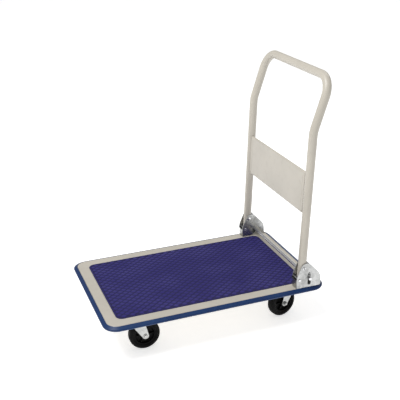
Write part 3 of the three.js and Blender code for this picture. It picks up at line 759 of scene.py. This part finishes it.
    def channel(self, width: float, height: float, sheets: Flat) -> list[Flat]:
        """The outline of a pressed channel that opens downwards, with round bends.

        Args:
            width: across the flanges.
            height: from the flanges' edges to the back of the web.
            sheets: thickness of the flanges and of the web.

        Returns:
            The outline, centred across and standing on zero.
        """
        (outer, inner), (flange, web) = self.channel_bend, sheets
        half, edge, top = width / 2, width / 2 - flange, height - web
        outside = [(-half, 0.0), *arc((-half + outer, height - outer), outer, 180, 90, 6)]
        inside = [(edge, 0.0), *arc((edge - inner, top - inner), inner, 0, 90, 5)]
        return [*doubled(outside, across=True), *doubled(inside, across=True)]

    def cross_member(self, node: str) -> Shape:
        """A wide channel across the deck that two casters bolt to."""
        low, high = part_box(node)
        outline = self.channel(high.x - low.x, high.z - low.z, self.member_sheets)
        centred = prism(outline, low.y, high.y, Axis.Y)
        return centred.at(x=(low.x + high.x) / 2, z=low.z)

    def stiffener(self, node: str) -> Shape:
        """A narrow channel along the deck between the cross members."""
        low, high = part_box(node)
        outline = self.channel(high.y - low.y, high.z - low.z, self.stiffener_sheets)
        centred = prism(outline, low.x, high.x, Axis.X)
        return centred.at(y=(low.y + high.y) / 2, z=low.z)


@dataclass
class Hinge:
    """One hinge bracket with its pins and base bolts."""

    side: str
    sheet: float = 2.3 * MM
    corner: float = 5 * MM
    web_top: float = 27 * MM
    web_notch: float = 0.6 * MM
    foot_ease: float = 4 * MM
    slot_radius: float = 5.6 * MM
    bar_travel: float = 18 * MM
    hook_hole: float = 2 * MM
    hook_drop: float = 1 * MM
    edge: float = 0.45 * MM
    dot_inset: float = 11 * MM
    bolt_head: float = 5 * MM
    bolt_across: float = 12.8 * MM
    # The cheek's two edges, as (inset from the bracket's end, height over its base) in millimetres.
    rear_edge: tuple[Flat, ...] = ((0.8, 27), (2, 42), (14, 54), (36, 77.2), (44, 85.2))
    front_edge: tuple[Flat, ...] = ((34, 85.2), (21, 85.2), (17, 76.2), (4, 47), (0.4, 37), (0, 29))

    def build(self) -> None:
        """Builds the bracket, its pins and its bolts."""
        self.node = f"hinge_bracket_{self.side}"
        self.low, self.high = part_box(self.node)
        self.middle = (self.low.y + self.high.y) / 2
        self.out = math.copysign(1.0, self.middle)
        self.half = (self.high.y - self.low.y) / 2
        replace_node(self.bracket(), self.node, Finish.ZINC, 20.0)
        replace_node(self.pivot(), f"handle_pivot_pin_{self.side}", Finish.STEEL)
        replace_node(self.stop(), f"stop_pin_{self.side}", Finish.STEEL)
        for end in ("front", "rear"):
            node = f"bracket_bolt_{self.side}_{end}"
            replace_node(self.bolt(node), node, Finish.ZINC)

    def cheek_outline(self) -> list[Flat]:
        """The cheek in X and Z: a notch for the web's bend, two slopes and a rounded top."""
        front, rear, deck = self.low.x, self.high.x, self.low.z
        bend, notch = front + self.corner + 1.5 * MM, deck + self.web_top - self.web_notch
        foot, pull, shoulder, slope, crown_pull = [(rear - a, deck + b) for a, b in mm(*self.rear_edge)]
        points = [(bend, deck), (rear - self.foot_ease, deck), (rear, deck + self.foot_ease), foot]
        points += [*curve(foot, pull, shoulder), slope]
        crown, pull, shoulder, slope, knee_pull, knee = [
            (front + a, deck + b) for a, b in mm(*self.front_edge)]
        points += [*curve(points[-1], crown_pull, crown), *curve(crown, pull, shoulder), slope]
        points += [*curve(slope, knee_pull, knee), (front, notch), (bend, notch)]
        return points

    def web(self) -> Shape:
        """The front web with its two round upright bends."""
        centre = (self.low.x + self.corner, self.half - self.corner)
        end = centre[0] + 2.5 * MM

        def rim(radius: float) -> list[Flat]:
            """One face of the folded sheet, from leg to leg."""
            return doubled([(end, centre[1] + radius), *arc(centre, radius, 90, 180, 7)])

        outline = [*rim(self.corner), *reversed(rim(self.corner - self.sheet))]
        fold = prism(outline, self.low.z, self.low.z + self.web_top, Axis.Z)
        return fold.at(y=self.middle)

    def bracket(self) -> Shape:
        """Two cheeks, the web and the base, with the bar's slot and the spring's hook hole."""
        low, high, past = self.low, self.high, 1 * MM
        cheeks = [
            prism(self.cheek_outline(), a, b, Axis.Y)
            for a, b in ((low.y, low.y + self.sheet), (high.y - self.sheet, high.y))
        ]
        inside = self.sheet * 0.8
        base = block(
            low.x + self.sheet, high.x - past, low.y + inside, high.y - inside, low.z, low.z + self.sheet)
        bar = sum(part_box("foot_bar"), Vector()) / 2
        ends = [
            *arc((bar.x, bar.z), self.slot_radius, 0, 180, 12),
            *arc((bar.x, bar.z - self.bar_travel), self.slot_radius, 180, 360, 12),
        ]
        slot = prism(ends, low.y - past, high.y + past, Axis.Y)
        hook_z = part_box(f"foot_bar_spring_{self.side}")[1].z - self.hook_drop
        hook = rod(self.hook_hole, -3 * MM, 3 * MM, Axis.Y, 20)
        hook.at(bar.x, self.middle + self.out * self.half, hook_z)
        pressing = (cheeks[0] + self.web() + cheeks[1] + base) - slot - hook
        return pressing.eased(self.edge).beside(self.pressed_dot())

    def pressed_dot(self) -> Shape:
        """The small round that stands out low on the outer cheek."""
        profile = mm((0, -0.3), (3, -0.3), (2.8, 0.4), (1.6, 0.8), (0, 0.8))
        turn = Matrix.Diagonal((1, self.out, 1, 1))
        face = self.middle + self.out * self.half
        spot = (self.low.x + self.dot_inset, face, self.low.z + self.dot_inset)
        return turned(profile, Axis.Y, 24).moved(Matrix.Translation(spot) @ turn)

    def pivot(self) -> Shape:
        """A hollow rivet: a large domed head inside the bracket and a rolled, open end outside."""
        low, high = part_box(f"handle_pivot_pin_{self.side}")
        centre = (low + high) / 2
        end, head = (high.y - low.y) / 2, (high.z - low.z) / 2
        seat, shank, bore = end - 2 * MM, 4 * MM, 2.4 * MM
        rolled = [
            (0, end - 3.2 * MM), (bore, end - 3 * MM), (bore, end - 0.8 * MM),
            (bore + 0.6 * MM, end - 0.3 * MM), (bore + 1.4 * MM, end - 0.3 * MM),
            (shank + 1 * MM, end - 1 * MM), (shank + 0.9 * MM, seat), (shank, seat),
        ]
        domed = [
            (shank, -seat), (head, -seat), (head, -seat - 0.5 * MM),
            (head * 0.86, -end + 0.55 * MM), (head * 0.5, -end + 0.1 * MM), (0, -end),
        ]
        shape = turned([*rolled, *domed], Axis.Y)
        return shape.moved(Matrix.Translation(centre) @ Matrix.Diagonal((1, self.out, 1, 1)))

    def stop(self) -> Shape:
        """The stop pin, with a turned ring round each head."""
        low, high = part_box(f"stop_pin_{self.side}")
        end, head = (high.y - low.y) / 2, (high.z - low.z) / 2
        seat = end - 1.8 * MM
        half = [
            (0, end - 0.5 * MM), (head * 0.42, end - 0.5 * MM), (head * 0.55, end),
            (head * 0.8, end - 0.1 * MM), (head, end - 0.9 * MM), (head, seat), (head * 0.7, seat),
        ]
        return turned(doubled(half), Axis.Y).at(*((low + high) / 2))

    def bolt(self, node: str) -> Shape:
        """A base bolt with a hexagonal head on a washer, and its end under the deck."""
        low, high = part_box(node)
        middle = (low + high) / 2
        seat = high.z - self.bolt_head
        head = hexagon(self.bolt_across, seat + 1.1 * MM, high.z, Axis.Z)
        washer = [(r, seat + up) for r, up in mm((3.9, 0), (7.4, 0), (7.6, 0.5), (7.4, 1), (3.9, 1))]
        foot = [(r, low.z + up) for r, up in mm((0, 0), (3, 0), (3.7, 0.7))]
        shank = turned([*foot, (3.7 * MM, seat + 1.2 * MM), (0, seat + 1.2 * MM)], Axis.Z)
        return head.beside(turned(washer, Axis.Z, 36), shank).at(middle.x, middle.y)


@dataclass
class FootBar:
    """The bar that a foot pushes down to free the handle, and the springs that lift it."""

    chamfer: float = 0.9 * MM
    neck: float = 3.8 * MM
    groove: Flat = (2 * MM, 5.6 * MM)
    wire: float = 0.6 * MM
    coil: float = 2.4 * MM
    axis_inset: float = 3.1 * MM  # from the spring's outer side to its axis
    turns: int = 5

    def build(self) -> None:
        """Builds the bar and both springs."""
        self.low, self.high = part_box("foot_bar")
        self.centre = (self.low + self.high) / 2
        replace_node(self.bar(), "foot_bar", Finish.STEEL)
        for side in ("left", "right"):
            node = f"foot_bar_spring_{side}"
            spring = place_piece(self.spring(node), f"{node}_wire", Finish.ZINC, [node], ride=False)
            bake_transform(spring)
            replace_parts(spring, node)

    def bar(self) -> Shape:
        """A drawn round bar with a spring groove near each end."""
        radius, end = (self.high.z - self.low.z) / 2, (self.high.y - self.low.y) / 2
        cut, round_off = self.chamfer, self.chamfer * 0.3
        outer, inner = (end - place for place in self.groove)
        half = [
            (0, end), (radius - cut, end), (radius - round_off, end - round_off), (radius, end - cut),
            (radius, outer), (self.neck, outer), (self.neck, inner), (radius, inner),
        ]
        return turned(doubled(half), Axis.Y).at(*self.centre)

    def spring(self, node: str) -> Shape:
        """An extension spring: a hook through the cheek, close turns, and a loop round the bar's groove."""
        low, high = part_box(node)
        out = math.copysign(1.0, low.y + high.y)
        axis_y = high.y - self.axis_inset if out > 0 else low.y + self.axis_inset
        top, bottom = high.z - 5 * MM, low.z + 1.0 * MM
        radius, x = self.coil, self.centre.x
        hook_z, cheek_y = high.z - 1.1 * MM, (low.y if out > 0 else high.y)
        path = [
            Vector((x, cheek_y, hook_z)),
            Vector((x, axis_y - out * 1.2 * MM, hook_z)),
            Vector((x + radius * 0.4, axis_y - out * 0.2 * MM, hook_z - 0.7 * MM)),
            Vector((x + radius * 0.9, axis_y, hook_z - 2.2 * MM)),
        ]
        count = self.turns * 16
        for i in range(count + 1):
            a = math.tau * self.turns * i / count
            z = top + (bottom - top) * i / count
            path.append(Vector((x + radius * math.cos(a), axis_y + radius * math.sin(a), z)))
        loop = self.neck + self.wire
        groove_y = out * (self.high.y - (self.groove[0] + self.groove[1]) / 2)
        for turn in range(30, -241, -15):
            a = math.radians(turn)
            path.append(Vector((x + loop * math.cos(a), groove_y, self.centre.z + loop * math.sin(a))))
        return swept(path, self.wire, steps=12)


@dataclass
class Handle:
    """The handle: one bent tube, and the pressed panel between its legs."""

    radius: float = 13.6 * MM
    wall: float = 1.5 * MM
    lean: float = math.radians(2.63)
    heel: float = 33 * MM
    bend_height: float = 517 * MM
    bend_radius: float = 110 * MM
    corner_radius: float = 58 * MM
    panel_sheet: float = 1.6 * MM
    panel_bead: float = 4.5 * MM
    panel_forward: float = 8 * MM
    panel_gap: float = 2.5 * MM
    roll_ease: float = 0.8 * MM
    tab_height: float = 13 * MM
    tab_half: float = 0.8 * MM
    line_inset: float = 12 * MM
    line_radius: float = 1.5 * MM
    line_sink: float = 0.6 * MM
    hole_inset: float = 5 * MM
    hole_radius: float = 2.2 * MM

    def build(self) -> None:
        """Builds the tube and the panel."""
        self.low, self.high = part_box("handle_tube")
        self.pivot = Vector(JOINTS["handle_fold"]["pos_m"])
        self.leg_y = self.high.y - self.radius
        replace_node(self.tube(), "handle_tube", Finish.CREAM)
        replace_node(self.panel(), "handle_panel", Finish.CREAM, 20.0)

    def bend(
        self, corner: Vector, way_in: Vector, way_out: Vector, radius: float, steps: int
    ) -> list[Vector]:
        """Points round a bend.

        Args:
            corner: where the two straight centre-lines would meet.
            way_in: direction before the bend.
            way_out: direction after it.
            radius: the bend's radius.
            steps: how many steps it takes.

        Returns:
            The points, from the bend's start to its end.
        """
        angle = way_in.angle(way_out)
        start = corner - way_in * radius * math.tan(angle / 2)
        inward = (way_out - way_in * way_out.dot(way_in)).normalized()
        turns = [angle * i / steps for i in range(steps + 1)]
        return [start + way_in * radius * math.sin(a) + inward * radius * (1 - math.cos(a)) for a in turns]

    def tube(self) -> Shape:
        """The tube from one heel, over the top bar, to the other."""
        deck_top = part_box("deck_pan")[1].z
        lower = Vector((math.sin(self.lean), 0, math.cos(self.lean)))
        foot = Vector((self.pivot.x, -self.leg_y, self.pivot.z))
        knee = foot + lower * ((deck_top + self.bend_height - foot.z) / lower.z)
        top = Vector((self.high.x - self.radius, -self.leg_y, self.high.z - self.radius))
        upper = (top - knee).normalized()
        side = [foot - lower * self.heel, foot]
        side += self.bend(knee, lower, upper, self.bend_radius, 8)
        side += self.bend(top, upper, Vector((0, 1, 0)), self.corner_radius, 18)
        path = side + [Vector((p.x, -p.y, p.z)) for p in reversed(side)]
        return swept(path, self.radius, self.radius - self.wall, steps=40)

    def panel(self) -> Shape:
        """A sheet rolled over at its top and bottom edges, with pressed upright lines and four tabs."""
        low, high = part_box("handle_panel")
        inner, half = high.y, high.y - self.panel_gap
        face, bead = -self.panel_forward, self.panel_bead
        bottom, top = (self.along_leg(z) for z in (low.z, high.z))
        sheet = block(face, face + self.panel_sheet, -half, half, bottom + bead, top - bead)
        ease, tab = self.roll_ease, self.tab_half
        end = [(0, half), (bead - ease, half), (bead, half - ease)]
        panel = sheet
        for z in (bottom + bead, top - bead):
            panel = panel + turned(doubled(end), Axis.Y, 36).at(x=face + bead, z=z)
        for z in (bottom + bead, top - bead - self.tab_height):
            panel = panel + block(
                face + bead - tab, face + bead + tab, -inner, inner, z, z + self.tab_height)
        panel.eased(0.4 * MM)
        for side in (-1, 1):
            line = rod(self.line_radius, bottom + 2.4 * bead, top - 2.4 * bead, Axis.Z, 12)
            panel = panel - line.at(face - self.line_sink, side * (half - self.line_inset))
            hole = rod(self.hole_radius, face - 2 * MM, face + 4 * MM, Axis.X, 20)
            panel = panel - hole.at(y=side * (half - self.hole_inset), z=bottom + 1.7 * bead)
        upright = Matrix.Translation((self.pivot.x, 0, self.pivot.z))
        return panel.moved(upright @ Matrix.Rotation(self.lean, 4, "Y"))

    def along_leg(self, z: float) -> float:
        """A height as a distance from the pivot along the leaning legs."""
        return (z - self.pivot.z) / math.cos(self.lean)


class Kind(Enum):
    """Whether a caster is fixed or turns."""

    FIXED = "fixed"
    SWIVEL = "swivel"


@dataclass
class Caster:
    """One caster: plate, fork, wheel, axle and, where it swivels, its ball race and kingpin."""

    end: str
    side: str
    kind: Kind
    offset: float = 24 * MM
    sheet: float = 2.5 * MM
    fork_half: float = 20.1 * MM
    tip: float = 10.5 * MM
    bend: float = 5 * MM
    plate_half: Flat = (46 * MM, 32 * MM)
    plate_corner: float = 7 * MM
    bolt_spacing: Flat = (74 * MM, 46 * MM)
    fixed_crown: Flat = (-38 * MM, 16 * MM)
    swivel_crown: Flat = (-27 * MM, 20 * MM)
    bead_seat: float = 36 * MM
    sleeve_half: float = 17 * MM
    hub_half: float = 16.4 * MM
    rim_half: float = 11 * MM
    rib_count: int = 6

    def build(self) -> None:
        """Builds the caster's pieces in its own axes and carries each to its place."""
        self.name = f"{self.end}_{self.side}"
        spin = JOINTS[f"{self.name}_wheel_spin"]
        self.wheel_z = spin["pos_m"][2]
        axle = Vector(spin["axis"])
        turn = math.atan2(-axle.x, axle.y)
        hub = Matrix.Translation((spin["pos_m"][0], spin["pos_m"][1], 0)) @ Matrix.Rotation(turn, 4, "Z")
        self.place = hub @ Matrix.Translation((-self.offset, 0, 0))
        self.wheel_place = hub @ Matrix.Translation((0, 0, self.wheel_z))
        if self.kind is Kind.SWIVEL:
            self.build_swivel()
        else:
            self.build_fixed()
        wheel = {
            "tyre": (self.tyre(), Finish.RUBBER),
            "wheel_centre": (self.wheel_centre(), Finish.PLASTIC),
            "bearing_sleeve": (self.sleeve(), Finish.ZINC),
            "axle_bolt": (self.axle_bolt(), Finish.ZINC),
            "axle_nut": (self.axle_nut(), Finish.ZINC),
        }
        for part, (shape, finish) in wheel.items():
            replace_node(shape.moved(self.wheel_place), f"{self.name}_{part}", finish)

    def fork(self, crown: Flat, top: float) -> Shape:
        """A fork folded from one sheet: round bends at its crown, and legs that narrow to a round tip.

        Args:
            crown: the crown's ends, over the wheel's far side and over the axle.
            top: height of the crown's top.

        Returns:
            The fork in the caster's own axes.
        """
        edge, bend = self.fork_half, self.bend

        def face(inset: float) -> list[Flat]:
            """One face of the folded sheet, from leg to leg."""
            corner = arc((-edge + bend, top - bend), bend - inset, 180, 90, 7)
            return doubled([(-edge + inset, 0.0), *corner], across=True)

        section = [*face(0), *reversed(face(self.sheet))]
        folded = prism(section, crown[0] - 5 * MM, self.offset + 3 * self.tip, Axis.X)
        leg = [(crown[1], top + 1 * MM), (crown[0], top + 1 * MM)]
        leg += arc((self.offset, self.wheel_z), self.tip, 216, 372, 20)
        mask = prism(leg, -edge - 1 * MM, edge + 1 * MM, Axis.Y)
        return (folded & mask).eased(0.4 * MM)

    def plate(self, node: str) -> Shape:
        """The top plate, with round corners."""
        top, (x, y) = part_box(node)[1].z, self.plate_half
        rim, under, ease = RoundedRect(-x, x, -y, y, self.plate_corner, 8), top - self.sheet, 0.4 * MM
        return skin([
            rim.ring(-ease, under), rim.ring(0, under + ease), rim.ring(0, top - ease), rim.ring(-ease, top),
        ])

    def plate_bolts(self, plate_top: float) -> Shape:
        """The four bolt heads and washers under the plate."""
        under = plate_top - self.sheet
        heads = []
        for sx in (-1, 1):
            for sy in (-1, 1):
                head = hexagon(12.6 * MM, under - 6 * MM, under - 1.1 * MM, Axis.Z)
                washer = rod(7.6 * MM, under - 1.1 * MM, under - 0.05 * MM, Axis.Z, 36).eased(0.3 * MM)
                spot = (sx * self.bolt_spacing[0] / 2, sy * self.bolt_spacing[1] / 2)
                heads.append(head.beside(washer).at(*spot))
        return heads[0].beside(*heads[1:])

    def add_plate_bolts(self, node: str, place: Matrix) -> None:
        """Puts the plate's bolts in, on the plate's body."""
        shape = self.plate_bolts(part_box(node)[1].z).moved(place)
        place_piece(shape, f"{self.name}_plate_bolts", Finish.ZINC, [node])

    def build_fixed(self) -> None:
        """The fixed caster: its fork is welded under its plate."""
        node = f"{self.name}_fixed_fork"
        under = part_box(node)[1].z - self.sheet
        shape = self.plate(node).beside(self.fork(self.fixed_crown, under))
        replace_node(shape.moved(self.place), node, Finish.ZINC, 20.0)
        self.add_plate_bolts(node, self.place)

    def build_swivel(self) -> None:
        """The swivelling caster: plate and kingpin stay with the deck, race and fork turn."""
        plate, pin, race, turning = (
            f"{self.name}_{part}" for part in ("swivel_plate", "kingpin", "ball_race", "swivel_fork"))
        level = Matrix.Translation(self.place.translation)
        replace_node(self.plate(plate).beside(self.cup(plate)).moved(level), plate, Finish.ZINC)
        self.add_plate_bolts(plate, level)
        replace_node(self.ball_race(race).moved(level), race, Finish.ZINC)
        fork = self.fork(self.swivel_crown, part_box(race)[0].z - 0.3 * MM)
        replace_node(fork.moved(self.place), turning, Finish.ZINC, 20.0)
        replace_node(self.kingpin(pin).moved(level), pin, Finish.STEEL)

    def cup(self, node: str) -> Shape:
        """The round cup pressed into the plate's underside."""
        low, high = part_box(node)
        under, bottom = high.z - self.sheet, low.z
        return turned([
            (0, under + 0.2 * MM), (21 * MM, under + 0.2 * MM), (20.6 * MM, under - 1.4 * MM),
            (19 * MM, bottom + 0.6 * MM), (17.6 * MM, bottom), (0, bottom),
        ], Axis.Z)

    def kingpin(self, node: str) -> Shape:
        """The kingpin: a hexagonal head under the fork, with the stem's end below it."""
        low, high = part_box(node)
        head = hexagon(18 * MM, low.z, low.z + 3.9 * MM, Axis.Z)
        end = [(r, low.z + up) for r, up in mm((0, -1.6), (3.6, -1.6), (4.6, -0.6), (5, 1))]
        return head.beside(turned([*end, (5 * MM, high.z), (0, high.z)], Axis.Z))

    def ball_race(self, node: str) -> Shape:
        """The pressed ring that holds the balls, rolled in at its upper rim."""
        low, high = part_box(node)
        outer = (high.x - low.x) / 2
        middle = (low.z + high.z) / 2
        bore = 5.4 * MM
        return turned([
            (bore, low.z), (outer * 0.8, low.z), (outer * 0.92, low.z + 1.2 * MM),
            (outer, middle - 0.8 * MM), (outer, middle + 1.6 * MM), (outer * 0.97, high.z - 1.4 * MM),
            (outer * 0.9, high.z - 0.3 * MM), (outer * 0.84, high.z), (bore, high.z),
        ], Axis.Z, 64)

    def tyre(self) -> Shape:
        """A solid tyre with a slightly crowned tread, round shoulders and a moulded step on each side."""
        low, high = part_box(f"front_{self.side}_tyre")
        radius, half, seat = self.wheel_z, (high.y - low.y) / 2, self.bead_seat + 0.3 * MM
        side = [
            (seat, half - 1.2 * MM), (seat + 0.5 * MM, half - 0.7 * MM), (seat + 2.6 * MM, half - 0.7 * MM),
            (seat + 3.1 * MM, half), (radius - 6.4 * MM, half),
        ]
        shoulder = arc((half - 7 * MM, radius - 7 * MM), 6.6 * MM, 84, 12, 7)
        crown = [(radius - 0.1 * MM, half * 0.45), (radius, half * 0.2), (radius, 0.5 * MM)]
        flank = [*side, *[(r, y) for y, r in reversed(shoulder)], *crown]
        middle = (radius - 0.25 * MM, 0.0)
        return turned([*flank, middle, *doubled(flank)[len(flank):]], Axis.Y, 96)

    def wheel_centre(self) -> Shape:
        """The moulded centre: hub, thin web with six ribs each side, and the rim."""
        hub, rim, seat = self.hub_half, self.rim_half, self.bead_seat
        bore, web = 6.3 * MM, 3 * MM
        half = [
            (bore, hub), (10.6 * MM, hub), (11.6 * MM, hub - 1 * MM), (12.4 * MM, web + 2 * MM),
            (14.4 * MM, web), (29 * MM, web), (30.6 * MM, web + 1.6 * MM), (31.2 * MM, rim - 0.6 * MM),
            (31.8 * MM, rim), (seat - 0.5 * MM, rim), (seat, rim - 0.5 * MM),
        ]
        inner, outer = 11.8 * MM, 31 * MM
        outline = doubled([(inner, 1 * MM), (outer, 1 * MM), (outer, rim - 3 * MM), (inner, rim + 1 * MM)])
        ribs = []
        for i in range(self.rib_count):
            rib = prism(outline, -1.1 * MM, 1.1 * MM, Axis.Z).eased(0.4 * MM)
            ribs.append(rib.moved(Matrix.Rotation(math.tau * i / self.rib_count, 4, "Y")))
        return turned(doubled(half), Axis.Y, 72).beside(*ribs)

    def sleeve(self) -> Shape:
        """The steel sleeve that the wheel turns on."""
        half, ease = self.sleeve_half, 0.4 * MM
        end = [(4.2 * MM, -half), (6 * MM - ease, -half), (6 * MM, -half + ease)]
        return turned(doubled(end), Axis.Y)

    def axle_bolt(self) -> Shape:
        """The axle bolt with its washer and chamfered end."""
        seat = self.fork_half + 0.1 * MM
        head = hexagon(13 * MM, -seat - 5.2 * MM, -seat - 0.9 * MM, Axis.Y)
        washer = rod(7.8 * MM, -seat - 0.9 * MM, -seat, Axis.Y, 36).eased(0.25 * MM)
        start, end = -seat - 1 * MM, seat + 7.6 * MM
        shank = turned([
            (0, start), (4 * MM, start), (4 * MM, end - 0.8 * MM), (3.3 * MM, end), (0, end),
        ], Axis.Y)
        return head.beside(washer, shank)

    def axle_nut(self) -> Shape:
        """The lock nut: a hexagon with a round collar."""
        seat = self.fork_half + 0.2 * MM
        nut = hexagon(13 * MM, seat, seat + 5 * MM, Axis.Y)
        rolled = mm((4.3, 4.9), (5.3, 4.9), (5.2, 6), (4.7, 6.4), (4.3, 6.2))
        collar = turned([(r, seat + up) for r, up in rolled], Axis.Y, 36)
        return (nut - rod(4.3 * MM, seat - 1 * MM, seat + 6 * MM, Axis.Y)).beside(collar)


# ---- Studio -------------------------------------------------------------------------------


@dataclass(frozen=True)
class SoftBox:
    """A square soft light that points at the cart's middle."""

    name: str
    spot: tuple[float, float, float]
    size: float
    power: float
    aim: tuple[float, float, float] = (0.0, 0.0, 0.3)

    def build(self) -> None:
        """Hangs the light."""
        lamp = bpy.data.lights.new(self.name, "AREA")
        lamp.size = self.size
        lamp.energy = self.power
        holder = bpy.data.objects.new(self.name, lamp)
        holder.location = self.spot
        way = Vector(self.aim) - Vector(self.spot)
        holder.rotation_euler = way.to_track_quat("-Z", "Y").to_euler()
        bpy.context.scene.collection.objects.link(holder)


@dataclass
class Studio:
    """A plain pale floor, soft light from above and a camera a little above the handle."""

    floor_reach: float = 45.0
    floor_glow: float = 0.62
    room_light: float = 0.42
    lamps: tuple[SoftBox, ...] = (
        SoftBox("key_box", (-1.5, -0.3, 3.6), 1.8, 100.0),
        SoftBox("rim_box", (2.2, 1.4, 2.8), 1.8, 10.0),
    )
    camera_spot: tuple[float, float, float] = (-0.78582, -2.13695, 1.34373)
    azimuth: float = -20.65
    elevation: float = 22.53
    roll: float = -0.89
    lens: float = 68.59

    def build(self) -> None:
        """Builds the floor, the light and the camera."""
        self.floor()
        self.light()
        self.camera()

    def floor(self) -> None:
        """A wide pale floor that the wheels stand on."""
        kit = ShaderKit("studio_floor")
        tone = kit.mix(kit.noise(0.8, 1.0), (0.86, 0.86, 0.86), (0.88, 0.88, 0.88))
        glow = {"Emission_Color": (1.0, 1.0, 1.0), "Emission_Strength": self.floor_glow}
        kit.dress(Base_Color=tone, Roughness=0.9, **glow)
        circle = round_outline(self.floor_reach, 96)
        mesh = bpy.data.meshes.new("studio_floor")
        mesh.from_pydata([(a, b, 0) for a, b in circle], [], [tuple(range(len(circle)))])
        mesh.materials.append(kit.material)
        floor = bpy.data.objects.new("studio_floor", mesh)
        bpy.context.scene.collection.objects.link(floor)

    def light(self) -> None:
        """An even white room and two broad soft boxes."""
        world = bpy.data.worlds.new("studio")
        world.use_nodes = True
        room = world.node_tree.nodes["Background"]
        room.inputs["Color"].default_value = (1, 1, 1, 1)
        room.inputs["Strength"].default_value = self.room_light
        bpy.context.scene.world = world
        for lamp in self.lamps:
            lamp.build()
        bpy.context.scene.view_settings.view_transform = "Standard"

    def camera(self) -> None:
        """The camera, from its spot, its direction and a slight roll."""
        az, el, roll = (math.radians(a) for a in (self.azimuth, self.elevation, self.roll))
        back = Vector((math.sin(az) * math.cos(el), -math.cos(az) * math.cos(el), math.sin(el)))
        right = (-back).cross(Vector((0, 0, 1))).normalized()
        up = right.cross(-back)
        across = right * math.cos(roll) + up * math.sin(roll)
        upward = up * math.cos(roll) - right * math.sin(roll)
        turn = Matrix((across, upward, back)).transposed()
        data = bpy.data.cameras.new("camera")
        data.lens = self.lens
        camera = bpy.data.objects.new("camera", data)
        camera.matrix_world = Matrix.Translation(self.camera_spot) @ turn.to_4x4()
        bpy.context.scene.collection.objects.link(camera)
        bpy.context.scene.camera = camera


def main() -> None:
    """Builds the cart's sub-assemblies in order, then the studio."""
    logging.basicConfig(level=logging.INFO, format="%(name)s: %(message)s")
    parts = [
        Deck(), Hinge("left"), Hinge("right"), FootBar(), Handle(),
        Caster("front", "left", Kind.FIXED), Caster("front", "right", Kind.FIXED),
        Caster("rear", "left", Kind.SWIVEL), Caster("rear", "right", Kind.SWIVEL),
        Studio(),
    ]
    for part in parts:
        part.build()


if __name__ == "__main__":
    main()
